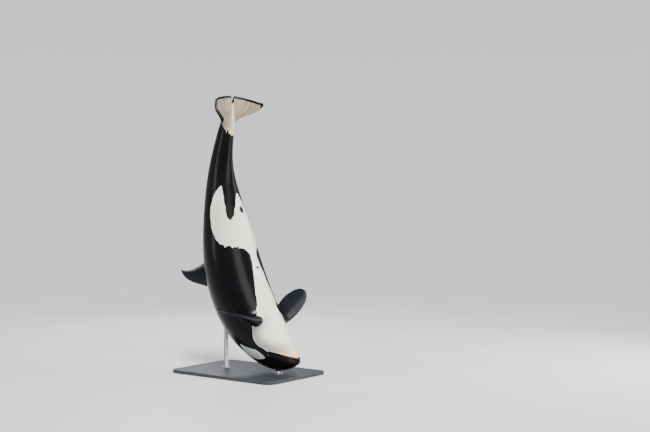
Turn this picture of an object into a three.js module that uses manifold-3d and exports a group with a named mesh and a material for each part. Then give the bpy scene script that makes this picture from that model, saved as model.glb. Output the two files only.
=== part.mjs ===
// A female orca in a head-down leap, life size, on a plain display stand.
// Millimetres, +Z up. The plane y = 0 divides the animal's left (-Y) from its right (+Y),
// and the belly faces +X. The origin is the middle of the underside of the stand's base.
import * as THREE from "three";
import { mergeVertices } from "three/addons/utils/BufferGeometryUtils.js";
import Module from "manifold-3d";

const wasm = await Module();
wasm.setup();
const { Manifold, Mesh: SolidMesh } = wasm;

// Driving sizes
const bodyLength = 5600; // snout to the notch of the flukes, along the spine
const clearance = 0.3; // between two nodes that touch
const halfGap = clearance / 2;
const baseLength = 2500;
const baseWidth = 1700;
const baseHeight = 60;
const baseCornerRadius = 180;
const baseChamfer = 12;
const bodyAboveBase = 70; // lowest point of the head above the top of the base
const spineMiddleX = -400; // the point of the spine at 0.45 of the length
const spineMiddleZ = baseHeight + bodyAboveBase + 1952;
const rodRadius = 42;
const rodSides = 24;
const flangeRadius = 92;
const flangeThickness = 12;
const flangeBevel = 4;
const rodSink = 200; // how far the uncut rod runs past the skin above it
const frontRodX = 740; // under the melon, clear of the blowhole
const rearRodX = -560;

// Outline of the body in shares of its length. Station i stands at (i / 10) squared of the length,
// so that the stations lie closer towards the snout. Heights are from the spine, + towards the back.
const stationCount = 11;
const backHeights = [-0.034, -0.001, 0.037, 0.066, 0.085, 0.098, 0.103, 0.097, 0.076, 0.055, 0.029];
const bellyHeights = [-0.034, -0.038, -0.0505, -0.068, -0.086, -0.102,
  -0.107, -0.098, -0.072, -0.037, -0.02];
const halfWidths = [0, 0.02, 0.0385, 0.06, 0.079, 0.093, 0.096, 0.087, 0.061, 0.025, 0.017];
const keelStart = 0.68; // behind this share of the length the back and belly draw in to keels
const keelEnd = 0.86;
const keelPinch = 0.18;
const tailCloseStart = 0.92; // from here to the end the tail thins away between the flukes
const tailClose = 0.8;
const deepestShrink = 0.6; // share of the half width that a section drawn inwards may lose

// Lean of the spine's tailward direction from upright, in degrees, + when the head is in front
const leanStations = [0, 0.12, 0.3, 0.5, 0.7, 0.85, 1];
const leanDegrees = [55, 52, 31, 12, 3.5, -11, -9];
const spineMiddle = 0.45;

// Where one named length of the body ends and the next begins, in shares of the length
const headEnd = 0.155;
const chestEnd = 0.345;
const bellyEnd = 0.56;
const loinEnd = 0.76;
const tailStockEnd = 0.9;
const spineEnd = 1;
const sectionSides = 48;

// Mouth: height of its line over the share of the length, and the corner
const mouthHeight = (t) => -0.0415 + 0.24 * t + 1.1 * t * t;
const mouthCorner = 0.09;
const lipGrooveHalfWidth = 8;
const lipGrooveDepth = 20;
const lipGrooveOverrun = 0.002; // how far the groove runs past the corner
const lipRadius = 14;
const lipSink = 10;
const lipEndAngle = THREE.MathUtils.degToRad(79);
const lipOffset = 0.0036; // of each lip's middle from the mouth line, in shares of the length

// Eyes and lids
const eyeStation = 0.083;
const eyeAngle = 92; // degrees round the body from the belly
const eyeRadius = 32;
const eyeSink = 17;
const lidRadius = 11;
const lidRing = 32;
const lidStretch = 1.28;
const lidSquash = 0.86;

// Blowhole
const blowholeStation = 0.113;
const blowholeHalfWidth = 0.0085;
const blowholeSweep = 0.004;
const blowholeRadius = 11;
const blowholeMound = [95, 85, 26];
const blowholeMoundSink = 16;

const tubeDivisions = 4; // gives lips and blowhole a section of eight sides

// Fins: plan points are [along the chord or body, away from the root] in shares of the body length
const dorsalLead = [[0.358, 0.08], [0.385, 0.103], [0.4033, 0.1337], [0.418, 0.168], [0.4312, 0.1997],
  [0.4443, 0.2234], [0.459, 0.237], [0.4741, 0.243]];
const dorsalTrail = [[0.515, 0.08], [0.49, 0.103], [0.4757, 0.1296], [0.4695, 0.1503], [0.4661, 0.1772],
  [0.4646, 0.2021], [0.4685, 0.2287], [0.4741, 0.243]];
const dorsalThickness = [0.0105, 0.0022]; // half thickness at the root and near the tip
const dorsalRoot = { level: 0.102, flare: 0.8 }; // where the root meets the skin, and its added thickness

const flukeHalfSpan = 0.1245;
const flukeLead = [[0.915, 0], [0.918, 0.012], [0.929, 0.028], [0.948, 0.049], [0.962, 0.073],
  [0.974, 0.097], [0.989, 0.116], [1.004, flukeHalfSpan]];
const flukeTrail = [[1.0245, 0], [1.0247, 0.004], [1.0249, 0.008], [1.025, 0.013], [1.0246, 0.02],
  [1.0221, 0.046], [1.018, 0.078], [1.014, 0.1], [1.0106, 0.1165], [1.008, 0.1225], [1.004, flukeHalfSpan]];
const flukeThickness = [0.009, 0.0016];
const flukeRoot = { level: 0.008, flare: 0.3 };
const flukeDroop = 0.0372; // how far the tips bend towards the belly
const flukeDroopPower = 2.6; // the blades curve more and more towards their tips
const notchDepth = 0.021;
const notchHalfWidth = 0.0038;

const flipperLead = [[0.026, -0.05], [0.027, -0.02], [0.0295, 0.005], [0.0315, 0.035], [0.0305, 0.06],
  [0.0265, 0.09], [0.0185, 0.119], [0.006, 0.14], [-0.01, 0.149]];
const flipperTrail = [[-0.026, -0.05], [-0.027, -0.02], [-0.031, 0.005], [-0.039, 0.035], [-0.043, 0.065],
  [-0.0415, 0.09], [-0.036, 0.119], [-0.026, 0.14], [-0.01, 0.149]];
const flipperThickness = [0.0105, 0.0022];
const flipperRoot = { level: 0, flare: 1.3 };
const flipperStation = 0.199;
const flipperAngle = 56;
// Directions as [tailward, outward, towards the back]; the left flipper is feathered, the right one flat
const leftFlipperSpan = [0.346, 0.935, -0.081];
const leftFlipperChord = [-0.746, 0.221, -0.628];
const rightFlipperSpan = [0.3, 0.865, -0.395];
const rightFlipperChord = [-0.925, 0.367, 0.1];
const foilSides = 16; // points round a fin's section
const rootFlareReach = 0.017; // distance over which the thickening of a fin's root dies away

const blackSkin = new THREE.MeshStandardMaterial({ color: 0x14161a, roughness: 0.3, metalness: 0 });
const whiteSkin = new THREE.MeshStandardMaterial({ color: 0xe6e0d2, roughness: 0.35, metalness: 0 });
const eyeSurface = new THREE.MeshStandardMaterial({ color: 0x1a100b, roughness: 0.08, metalness: 0 });
const basePaint = new THREE.MeshStandardMaterial({ color: 0x3a3d42, roughness: 0.5, metalness: 0 });
const rodSteel = new THREE.MeshStandardMaterial({ color: 0xa9adb2, roughness: 0.3, metalness: 1 });

const radians = THREE.MathUtils.degToRad;
const smoothstep = THREE.MathUtils.smoothstep;

const spaced = (from, to, steps) => Array.from(
  { length: steps + 1 },
  (_, i) => from + ((to - from) * i) / steps,
);

// Natural cubic spline through values given at rising stations
function naturalSpline(stations, values) {
  const last = stations.length - 1;
  const curvature = new Array(last + 1).fill(0);
  const weight = new Array(last + 1).fill(0);
  for (let i = 1; i < last; i += 1) {
    const before = stations[i] - stations[i - 1];
    const after = stations[i + 1] - stations[i];
    const turn = (values[i + 1] - values[i]) / after - (values[i] - values[i - 1]) / before;
    const pivot = 2 * (before + after) - before * weight[i - 1];
    weight[i] = after / pivot;
    curvature[i] = (6 * turn - before * curvature[i - 1]) / pivot;
  }
  for (let i = last - 1; i > 0; i -= 1) {
    curvature[i] -= weight[i] * curvature[i + 1];
  }
  return (at) => {
    let i = 0;
    while (i < last - 1 && at > stations[i + 1]) {
      i += 1;
    }
    const step = stations[i + 1] - stations[i];
    const a = (stations[i + 1] - at) / step;
    const b = (at - stations[i]) / step;
    const straight = a * values[i] + b * values[i + 1];
    return straight + ((a ** 3 - a) * curvature[i] + (b ** 3 - b) * curvature[i + 1]) * step * step / 6;
  };
}

const profileStations = spaced(0, 1, stationCount - 1);
const backProfile = naturalSpline(profileStations, backHeights);
const bellyProfile = naturalSpline(profileStations, bellyHeights);
const widthProfile = naturalSpline(profileStations, halfWidths);
const leanProfile = naturalSpline(leanStations, leanDegrees.map(radians));
const leanAt = (t) => leanProfile(THREE.MathUtils.clamp(t, 0, spineEnd));

// The spine is integrated once in fine steps from its middle, both ways
const spineStep = 0.0025;
const spineFrom = -0.1;
const spineTo = 1.15;

function spinePoints() {
  const count = Math.round((spineTo - spineFrom) / spineStep);
  const points = [new THREE.Vector2()];
  for (let i = 0; i < count; i += 1) {
    const lean = leanAt(spineFrom + (i + 0.5) * spineStep);
    const next = new THREE.Vector2(-Math.sin(lean), Math.cos(lean)).multiplyScalar(spineStep);
    points.push(next.add(points[i]));
  }
  return points;
}

const spine = spinePoints();

function spineRaw(t) {
  const place = (t - spineFrom) / spineStep;
  const i = THREE.MathUtils.clamp(Math.floor(place), 0, spine.length - 2);
  return spine[i].clone().lerp(spine[i + 1], place - i);
}

const spineOrigin = spineRaw(spineMiddle);

// A point of the straight animal (share of the length, side, height) goes to its place on the bent one
function bend(t, side, height) {
  const lean = leanAt(t);
  const centre = spineRaw(t).sub(spineOrigin);
  return new THREE.Vector3(
    spineMiddleX + bodyLength * (centre.x - height * Math.cos(lean)),
    bodyLength * side,
    spineMiddleZ + bodyLength * (centre.y - height * Math.sin(lean)),
  );
}

// The skin: angle 0 is the belly, 90 degrees the right side, 180 the back
function sectionPoint(t, angle, grow = 0) {
  const root = Math.sqrt(Math.max(t, 0));
  const back = backProfile(root);
  const belly = bellyProfile(root);
  const halfWidth = widthProfile(root);
  const extra = Math.max(grow / bodyLength, -deepestShrink * halfWidth);
  const pinch = 1 - keelPinch * smoothstep(t, keelStart, keelEnd) * Math.cos(angle) ** 2;
  const close = 1 - tailClose * smoothstep(t, tailCloseStart, spineEnd);
  const side = (halfWidth * close + extra) * Math.sin(angle) * pinch;
  const height = close * (back + belly) / 2 - (close * (back - belly) / 2 + extra) * Math.cos(angle);
  return { side, height };
}

function skinPoint(t, angle, grow = 0) {
  const { side, height } = sectionPoint(t, angle, grow);
  return bend(t, side, height);
}

const skinStep = 0.002; // to either side of a place on the skin when its slope is measured

// Directions at a place on the skin: tailward, round the body, outwards
function skinAxes(t, angle) {
  const tailward = skinPoint(t + skinStep, angle).sub(skinPoint(t - skinStep, angle)).normalize();
  const round = skinPoint(t, angle + skinStep).sub(skinPoint(t, angle - skinStep));
  const out = round.cross(tailward).normalize();
  return [tailward, out.clone().cross(tailward).normalize(), out];
}

// A point at a height above the skin
function overSkin(t, angle, height) {
  return skinPoint(t, angle).addScaledVector(skinAxes(t, angle)[2], height);
}

// Closed surface through rings of points. The quads of the two halves of a ring are split alike,
// mirrored, so that thin shapes never cross themselves. A ring of one point is a tip.
function stackRings(rings) {
  const sides = Math.max(...rings.map((ring) => ring.length));
  const points = [];
  const starts = rings.map((ring) => {
    points.push(...ring);
    return points.length - ring.length;
  });
  const at = (ring, k) => starts[ring] + (rings[ring].length === 1 ? 0 : k % sides);
  const faces = [];
  const addFace = (a, b, c) => {
    if (a !== b && b !== c && a !== c) {
      faces.push(a, b, c);
    }
  };
  for (let ring = 0; ring < rings.length - 1; ring += 1) {
    for (let k = 0; k < sides; k += 1) {
      const corners = [at(ring, k), at(ring + 1, k), at(ring + 1, k + 1), at(ring, k + 1)];
      const turn = k < sides / 2 ? 0 : 1;
      addFace(corners[turn], corners[turn + 1], corners[turn + 2]);
      addFace(corners[turn], corners[turn + 2], corners[(turn + 3) % 4]);
    }
  }
  closeEnd(rings[0], starts[0], points, faces, false);
  closeEnd(rings[rings.length - 1], starts[rings.length - 1], points, faces, true);
  return closedGeometry(points, faces);
}

function closeEnd(ring, start, points, faces, isLast) {
  if (ring.length === 1) {
    return;
  }
  const middle = new THREE.Vector3();
  ring.forEach((point) => middle.addScaledVector(point, 1 / ring.length));
  points.push(middle);
  const hub = points.length - 1;
  ring.forEach((_, k) => {
    const here = start + k;
    const next = start + ((k + 1) % ring.length);
    faces.push(hub, isLast ? next : here, isLast ? here : next);
  });
}

// The faces are turned outwards by the sign of the volume that they enclose
function closedGeometry(points, faces) {
  const geometry = new THREE.BufferGeometry();
  geometry.setAttribute("position", new THREE.Float32BufferAttribute(points.flatMap((p) => p.toArray()), 3));
  let volume = 0;
  for (let i = 0; i < faces.length; i += 3) {
    const [a, b, c] = [points[faces[i]], points[faces[i + 1]], points[faces[i + 2]]];
    volume += a.dot(b.clone().cross(c));
  }
  geometry.setIndex(volume > 0 ? faces : faces.toReversed());
  return geometry;
}

function toSolid(geometry) {
  geometry.deleteAttribute("normal");
  geometry.deleteAttribute("uv");
  const merged = mergeVertices(geometry, 1e-3);
  return new Manifold(new SolidMesh({
    numProp: 3,
    vertProperties: new Float32Array(merged.attributes.position.array),
    triVerts: new Uint32Array(merged.index.array),
  }));
}

// Only the largest closed surface of a solid is kept
function toGeometry(solid) {
  const pieces = solid.decompose();
  const largest = pieces.reduce((best, piece) => (piece.volume() > best.volume() ? piece : best));
  const mesh = largest.getMesh();
  const geometry = new THREE.BufferGeometry();
  geometry.setAttribute("position", new THREE.Float32BufferAttribute(mesh.vertProperties, 3));
  geometry.setIndex(Array.from(mesh.triVerts));
  return geometry;
}

// Stations of the whole body; the named lengths share them, so that their facets line up
const headStations = spaced(0, 1, 16).map((share) => headEnd * share ** 2);
const bodyStations = [
  ...headStations,
  ...spaced(headEnd, chestEnd, 8).slice(1),
  ...spaced(chestEnd, bellyEnd, 7).slice(1),
  ...spaced(bellyEnd, loinEnd, 7).slice(1),
  ...spaced(loinEnd, tailStockEnd, 7).slice(1),
  ...spaced(tailStockEnd, spineEnd, 6).slice(1),
];

function bodyRing(t, grow) {
  if (t <= 0) {
    return [bend(-grow / bodyLength, 0, backHeights[0])];
  }
  const angles = spaced(0, 2 * Math.PI, sectionSides).slice(0, -1);
  return angles.map((angle) => skinPoint(t, angle, grow));
}

function bodySpan(from, to, grow = 0) {
  const share = halfGap / bodyLength;
  const start = from > 0 ? from + share : 0;
  const end = to < spineEnd ? to - share : to;
  const first = Math.max(from, -grow / bodyLength);
  const inner = bodyStations.filter((t) => t > first && t < to);
  return toSolid(stackRings([start, ...inner, end].map((t) => bodyRing(t, grow))));
}

const bodyForCuts = bodySpan(0, spineEnd, clearance);

// A block that reaches out past the snout and both cheeks, between two heights, bent with the body
const blockStart = -0.04;
const blockHalfWidth = 0.1;
const blockFloor = -0.13;
const blockSteps = 14;

function snoutBlock(to, floorAt, roofAt) {
  const rings = spaced(blockStart, to, blockSteps).map((t) => [
    bend(t, -blockHalfWidth, floorAt(t)),
    bend(t, blockHalfWidth, floorAt(t)),
    bend(t, blockHalfWidth, roofAt(t)),
    bend(t, -blockHalfWidth, roofAt(t)),
  ]);
  return toSolid(stackRings(rings));
}

function belowMouth(shift) {
  const share = shift / bodyLength;
  return snoutBlock(mouthCorner + share, () => blockFloor, (t) => mouthHeight(t) + share);
}

function lipGroove() {
  const half = lipGrooveHalfWidth / bodyLength;
  const floorAt = (t) => mouthHeight(t) - half;
  const roofAt = (t) => mouthHeight(t) + half;
  const slab = snoutBlock(mouthCorner + lipGrooveOverrun, floorAt, roofAt);
  return slab.subtract(bodySpan(0, chestEnd, -lipGrooveDepth));
}

const halvings = 40;

// Share of the length at which the skin, at one angle, stands at the height of the mouth plus an offset
function mouthStation(angle, offset) {
  let near = 0;
  let far = headEnd;
  for (let i = 0; i < halvings; i += 1) {
    const middle = (near + far) / 2;
    if (sectionPoint(middle, angle).height > mouthHeight(middle) + offset) {
      near = middle;
    } else {
      far = middle;
    }
  }
  return near;
}

// A round tube along a smooth path
function tube(path, radius, steps) {
  const section = new THREE.Shape().absarc(0, 0, radius, 0, 2 * Math.PI);
  return toSolid(new THREE.ExtrudeGeometry(section, {
    curveSegments: tubeDivisions,
    steps,
    bevelEnabled: false,
    extrudePath: new THREE.CatmullRomCurve3(path),
  }));
}

const lipPathSteps = 20;
const lipTubeSteps = 30;

function lipRoll(offset) {
  const path = spaced(-1, 1, lipPathSteps).map((share) => {
    const angle = share * lipEndAngle;
    return overSkin(mouthStation(angle, offset), angle, -lipSink);
  });
  return tube(path, lipRadius, lipTubeSteps);
}

function ball(centre, radii, axes, sides) {
  const geometry = new THREE.SphereGeometry(1, sides, 0.75 * sides);
  geometry.scale(...radii);
  geometry.applyMatrix4(new THREE.Matrix4().makeBasis(...axes));
  geometry.translate(...centre.toArray());
  return geometry;
}

const eyeSides = 16;

function eyeBall(side, radius) {
  const angle = side * radians(eyeAngle);
  const centre = overSkin(eyeStation, angle, -eyeSink);
  return ball(centre, [radius, radius, radius], skinAxes(eyeStation, angle), eyeSides);
}

const lidSectionSides = 8;
const lidRingSides = 24;

function lids(side) {
  const angle = side * radians(eyeAngle);
  const ring = new THREE.TorusGeometry(lidRing, lidRadius, lidSectionSides, lidRingSides);
  ring.scale(lidStretch, lidSquash, 1);
  ring.applyMatrix4(new THREE.Matrix4().makeBasis(...skinAxes(eyeStation, angle)));
  ring.translate(...skinPoint(eyeStation, angle).toArray());
  return toSolid(ring);
}

const blowholePathSteps = 8;
const blowholeTubeSteps = 14;
const blowholeMoundSides = 20;

function blowhole() {
  const path = spaced(-1, 1, blowholePathSteps).map((share) => {
    const t = blowholeStation - blowholeSweep * share ** 2;
    const angle = Math.PI + share * blowholeHalfWidth / widthProfile(Math.sqrt(t));
    return skinPoint(t, angle, blowholeMound[2] - blowholeMoundSink);
  });
  return tube(path, blowholeRadius, blowholeTubeSteps);
}

function blowholeRise() {
  const centre = overSkin(blowholeStation, Math.PI, -blowholeMoundSink);
  return toSolid(ball(centre, blowholeMound, skinAxes(blowholeStation, Math.PI), blowholeMoundSides));
}

// Round-nosed, sharp-tailed section of a fin: half thickness over the share of the chord
const foilPeak = 0.385;
const foil = (share) => (Math.sqrt(share) * (1 - share)) / foilPeak;
const foilTaper = 0.8; // power of the share of the span over which a fin thins
const finSteps = 14; // rings from the root of a fin to its tip
const flukeSteps = 18;

// -1, 0 or 1 for the two faces of a fin and the edges between them
const faceOf = (turn) => Math.sign(Math.round(Math.sin(turn) * 1e6));

// A fin through a leading and a trailing edge given in plan; place() sets a plan point in space
function finSolid({ lead, trail, thickness, root, place, steps = finSteps }) {
  const leadCurve = new THREE.SplineCurve(lead.map((p) => new THREE.Vector2(...p)));
  const trailCurve = new THREE.SplineCurve(trail.map((p) => new THREE.Vector2(...p)));
  const rings = spaced(0, 1, steps).map((share) => {
    const front = leadCurve.getPoint(share);
    const rear = trailCurve.getPoint(share);
    if (share === 1) {
      return [place(front.x, front.y, 0)];
    }
    const away = Math.max(0, (front.y + rear.y) / 2 - root.level);
    const flare = 1 + root.flare * Math.exp(-away / rootFlareReach);
    const taper = thickness[0] + (thickness[1] - thickness[0]) * share ** foilTaper;
    return Array.from({ length: foilSides }, (_, k) => {
      const turn = (2 * Math.PI * k) / foilSides;
      const along = (1 - Math.cos(turn)) / 2;
      const point = front.clone().lerp(rear, along);
      return place(point.x, point.y, faceOf(turn) * foil(along) * taper * flare);
    });
  });
  return toSolid(stackRings(rings));
}

function dorsalFin() {
  const fin = finSolid({
    lead: dorsalLead,
    trail: dorsalTrail,
    thickness: dorsalThickness,
    root: dorsalRoot,
    place: (along, height, offset) => bend(along, offset, height),
  });
  return fin.subtract(bodyForCuts);
}

function flipper(side, span, chord) {
  const t = flipperStation;
  const lean = leanAt(t);
  const tailward = new THREE.Vector3(-Math.sin(lean), 0, Math.cos(lean));
  const outward = new THREE.Vector3(0, side, 0);
  const backward = new THREE.Vector3(-Math.cos(lean), 0, -Math.sin(lean));
  const direction = (parts) => new THREE.Vector3()
    .addScaledVector(tailward, parts[0])
    .addScaledVector(outward, parts[1])
    .addScaledVector(backward, parts[2])
    .normalize();
  const base = skinPoint(t, side * radians(flipperAngle));
  const spanwise = direction(span);
  const chordwise = direction(chord);
  const across = spanwise.clone().cross(chordwise).normalize();
  const blade = finSolid({
    lead: flipperLead,
    trail: flipperTrail,
    thickness: flipperThickness,
    root: flipperRoot,
    place: (along, away, offset) => base.clone()
      .addScaledVector(chordwise, bodyLength * along)
      .addScaledVector(spanwise, bodyLength * away)
      .addScaledVector(across, bodyLength * offset),
  });
  return blade.subtract(bodyForCuts);
}

// Everything on one side of the middle plane
const halfSpaceSize = [4000, 2000, 9000];

function halfSpace(side) {
  const half = new THREE.BoxGeometry(...halfSpaceSize);
  half.translate(0, side * (halfSpaceSize[1] / 2 + halfGap), spineMiddleZ);
  return toSolid(half);
}

// Half of the tail's end with one fluke; the two halves meet at the middle plane
function fluke(side) {
  const notched = ([along, away]) => [along - notchDepth * Math.exp(-((away / notchHalfWidth) ** 2)), away];
  const droop = (away) => -flukeDroop * (Math.max(away, 0) / flukeHalfSpan) ** flukeDroopPower;
  const blade = finSolid({
    lead: flukeLead,
    trail: flukeTrail.map(notched),
    thickness: flukeThickness,
    root: flukeRoot,
    place: (along, away, offset) => bend(along, side * away, droop(away) + offset),
    steps: flukeSteps,
  });
  return blade
    .add(bodySpan(tailStockEnd, spineEnd))
    .subtract(bodySpan(loinEnd, tailStockEnd, clearance))
    .intersect(halfSpace(side));
}

function head() {
  return bodySpan(0, headEnd)
    .subtract(belowMouth(halfGap))
    .add(lipRoll(lipOffset))
    .subtract(belowMouth(halfGap))
    .subtract(lipGroove())
    .add(blowholeRise())
    .subtract(blowhole())
    .add(lids(1))
    .add(lids(-1))
    .subtract(toSolid(eyeBall(1, eyeRadius + clearance)))
    .subtract(toSolid(eyeBall(-1, eyeRadius + clearance)));
}

function lowerJaw() {
  return bodySpan(0, headEnd)
    .add(lipRoll(-lipOffset))
    .intersect(belowMouth(-halfGap))
    .subtract(lipGroove());
}

const baseCornerSides = 8;

function standBase() {
  const half = [baseLength / 2 - baseChamfer, baseWidth / 2 - baseChamfer];
  const radius = baseCornerRadius - baseChamfer;
  const outline = new THREE.Shape();
  outline.absarc(half[0] - radius, half[1] - radius, radius, 0, Math.PI / 2);
  outline.absarc(radius - half[0], half[1] - radius, radius, Math.PI / 2, Math.PI);
  outline.absarc(radius - half[0], radius - half[1], radius, Math.PI, 1.5 * Math.PI);
  outline.absarc(half[0] - radius, radius - half[1], radius, 1.5 * Math.PI, 2 * Math.PI);
  const geometry = new THREE.ExtrudeGeometry(outline, {
    depth: baseHeight - 2 * baseChamfer,
    bevelThickness: baseChamfer,
    bevelSize: baseChamfer,
    bevelSegments: 1,
    curveSegments: baseCornerSides,
  });
  geometry.translate(0, 0, baseChamfer);
  return geometry;
}

// Height of the back, which faces down over the stand, above a place on the base
function backAbove(x) {
  let t = 0;
  while (skinPoint(t, Math.PI).x > x) {
    t += spineStep;
  }
  return skinPoint(t, Math.PI).z;
}

// A round rod with a foot flange and a top cut to the skin's shape
function standRod(x) {
  const foot = baseHeight + clearance;
  const top = backAbove(x) + rodSink;
  const rod = new THREE.LatheGeometry([
    new THREE.Vector2(0, foot),
    new THREE.Vector2(flangeRadius, foot),
    new THREE.Vector2(flangeRadius, foot + flangeThickness),
    new THREE.Vector2(flangeRadius - flangeBevel, foot + flangeThickness + flangeBevel),
    new THREE.Vector2(rodRadius, foot + flangeThickness + flangeBevel),
    new THREE.Vector2(rodRadius, top),
    new THREE.Vector2(0, top),
  ], rodSides);
  rod.rotateX(Math.PI / 2);
  rod.translate(x, 0, 0);
  return toSolid(rod).subtract(bodyForCuts);
}

const orca = new THREE.Group();

function addNode(name, shape, material) {
  const geometry = shape.isBufferGeometry ? shape : toGeometry(shape);
  const node = new THREE.Mesh(geometry, material);
  node.name = name;
  orca.add(node);
}

addNode("head", head(), blackSkin);
addNode("lower_jaw", lowerJaw(), whiteSkin);
addNode("eye_right", eyeBall(1, eyeRadius), eyeSurface);
addNode("eye_left", eyeBall(-1, eyeRadius), eyeSurface);
addNode("chest", bodySpan(headEnd, chestEnd), blackSkin);
addNode("belly", bodySpan(chestEnd, bellyEnd), blackSkin);
addNode("loin", bodySpan(bellyEnd, loinEnd), blackSkin);
addNode("tail_stock", bodySpan(loinEnd, tailStockEnd), blackSkin);
addNode("dorsal_fin", dorsalFin(), blackSkin);
addNode("flipper_right", flipper(1, rightFlipperSpan, rightFlipperChord), blackSkin);
addNode("flipper_left", flipper(-1, leftFlipperSpan, leftFlipperChord), blackSkin);
addNode("fluke_right", fluke(1), whiteSkin);
addNode("fluke_left", fluke(-1), whiteSkin);
addNode("stand_base", standBase(), basePaint);
addNode("stand_rod_front", standRod(frontRodX), rodSteel);
addNode("stand_rod_rear", standRod(rearRodX), rodSteel);

export default orca;
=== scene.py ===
# A female orca in a head-down leap, as a life-size still model on a plain display stand.
# Metres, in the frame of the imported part: +Z up, the animal's left towards -Y, its belly towards +X.
import math

import bpy
import numpy as np
from mathutils import Matrix, Vector


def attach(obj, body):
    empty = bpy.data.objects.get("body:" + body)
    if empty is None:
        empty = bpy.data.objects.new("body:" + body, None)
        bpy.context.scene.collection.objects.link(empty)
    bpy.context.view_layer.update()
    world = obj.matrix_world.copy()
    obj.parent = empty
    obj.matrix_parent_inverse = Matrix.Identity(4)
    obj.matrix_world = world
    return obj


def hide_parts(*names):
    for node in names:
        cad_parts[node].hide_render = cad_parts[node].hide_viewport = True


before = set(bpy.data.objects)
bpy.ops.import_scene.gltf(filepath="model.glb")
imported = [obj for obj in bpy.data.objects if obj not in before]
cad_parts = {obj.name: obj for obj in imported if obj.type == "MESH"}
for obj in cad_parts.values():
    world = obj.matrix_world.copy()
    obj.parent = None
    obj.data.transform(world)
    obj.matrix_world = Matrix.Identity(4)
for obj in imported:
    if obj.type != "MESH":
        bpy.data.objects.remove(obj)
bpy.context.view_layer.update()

# Camera, at the photograph's angle. The picture is 650 pixels wide.
PICTURE_WIDTH = 650
FOCAL_PIXELS = 1200
SENSOR_WIDTH = 36
CAMERA_PLACE = (14.906, -17.125, 3.585)
CAMERA_TURN = math.radians(37.36)
CAMERA_DIP = math.radians(1.53)
CAMERA_REACH = 400

# The body, with the same measures as the solids. Shares are of the length from snout to notch.
LENGTH = 5.6
SPINE_MIDDLE = 0.45
SPINE_MIDDLE_X = -0.4
SPINE_MIDDLE_Z = 2.082
BACK_HEIGHTS = (-0.034, -0.001, 0.037, 0.066, 0.085, 0.098, 0.103, 0.097, 0.076, 0.055, 0.029)
BELLY_HEIGHTS = (-0.034, -0.038, -0.0505, -0.068, -0.086, -0.102, -0.107, -0.098, -0.072, -0.037, -0.02)
HALF_WIDTHS = (0, 0.02, 0.0385, 0.06, 0.079, 0.093, 0.096, 0.087, 0.061, 0.025, 0.017)
KEEL_START = 0.68
KEEL_END = 0.86
KEEL_PINCH = 0.18
TAIL_CLOSE_START = 0.92
TAIL_CLOSE = 0.8
LEAN_STATIONS = (0, 0.12, 0.3, 0.5, 0.7, 0.85, 1)
LEAN_DEGREES = (55, 52, 31, 12, 3.5, -11, -9)
SPINE_STEP = 0.0025
SPINE_FROM = -0.1
SPINE_TO = 1.15
UNBEND_STEPS = 18
UNBEND_EASE = 0.7  # share of the step that each round of unbending takes

# Where the skin's net has its rows (share of the length) and columns (degrees round from the belly)
HEAD_ROWS = 96
HEAD_END = 0.155
FLUKE_ROW = 282
ROW_KNOTS = ((136, 0.245), (162, 0.345), (210, 0.535), (FLUKE_ROW, 0.9))
ROWS = 342
COLUMNS = 240
COLUMN_KNOTS = ((0, 0), (16, 25), (56, 85), (60, 90), (96, 156), (144, 204), (180, 270), (184, 275),
                (224, 335), (240, 360))
EVEN_FROM = 0.62  # between these two shares of the length the columns become evenly spaced
EVEN_TO = 0.88
GIRTH = 3.2  # metres round the body in the skin's flat layout
SKIN_TRIANGLES = 190000  # to which the finished skin is thinned out
PATCH_EDGE_KEPT = 0.03  # metres to either side of the eye patch's edge where no face is joined

# Details of the skin: shares of the length and degrees round from the belly, sizes in metres
MOUTH_CORNER = 0.09
CORNER_ANGLE = 78
CHEEK_ANGLE = 80
EYE_STATION = 0.083
EYE_ANGLE = 92
EYE_RADIUS = 0.0318
EYE_SINK = 0.017
EAR_STATION = 0.112
EAR_ANGLE = 96
BLOWHOLE_STATION = 0.113
NAVEL_STATION = 0.401
SLIT_STATION = 0.626
SIDE_SLIT_STATION = 0.636
SIDE_SLIT_ANGLE = 7.5
FAR_SIDE_DEPTH = 0.12  # points deeper than this below a detail belong to the body's far side
# Folds of the neck: share of the length, depth, and width as a share of the length
NECK_FOLDS = ((0.128, 0.0016, 0.004), (0.147, 0.002, 0.005), (0.258, 0.0018, 0.006))

# Fins, in plan: along the body or chord, and away from the root. Level is where the root lies, and flare how
# much thicker the fin gets there. Centre and reach are the middle and half the width of the fin's square in
# the net, in rows and columns, and fillet is the share of the fin over which its root's fillet reaches.
DORSAL = {
    "lead": ((0.358, 0.08), (0.385, 0.103), (0.4033, 0.1337), (0.418, 0.168), (0.4312, 0.1997),
             (0.4443, 0.2234), (0.459, 0.237), (0.4741, 0.243)),
    "trail": ((0.515, 0.08), (0.49, 0.103), (0.4757, 0.1296), (0.4695, 0.1503), (0.4661, 0.1772),
              (0.4646, 0.2021), (0.4685, 0.2287), (0.4741, 0.243)),
    "thickness": (0.0105, 0.0022),
    "level": 0.102,
    "flare": 0.8,
    "centre": (186, 120),
    "reach": 24,
    "fillet": 0.09,
}
FLIPPER = {
    "lead": ((0.026, -0.05), (0.027, -0.02), (0.0295, 0.005), (0.0315, 0.035), (0.0305, 0.06),
             (0.0265, 0.09), (0.0185, 0.119), (0.006, 0.14), (-0.01, 0.149)),
    "trail": ((-0.026, -0.05), (-0.027, -0.02), (-0.031, 0.005), (-0.039, 0.035), (-0.043, 0.065),
              (-0.0415, 0.09), (-0.036, 0.119), (-0.026, 0.14), (-0.01, 0.149)),
    "thickness": (0.0105, 0.0022),
    "level": 0,
    "flare": 1.3,
    "reach": 20,
    "fillet": 0.075,
}
FLIPPER_STATION = 0.199
FLIPPER_ANGLE = 56
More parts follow.
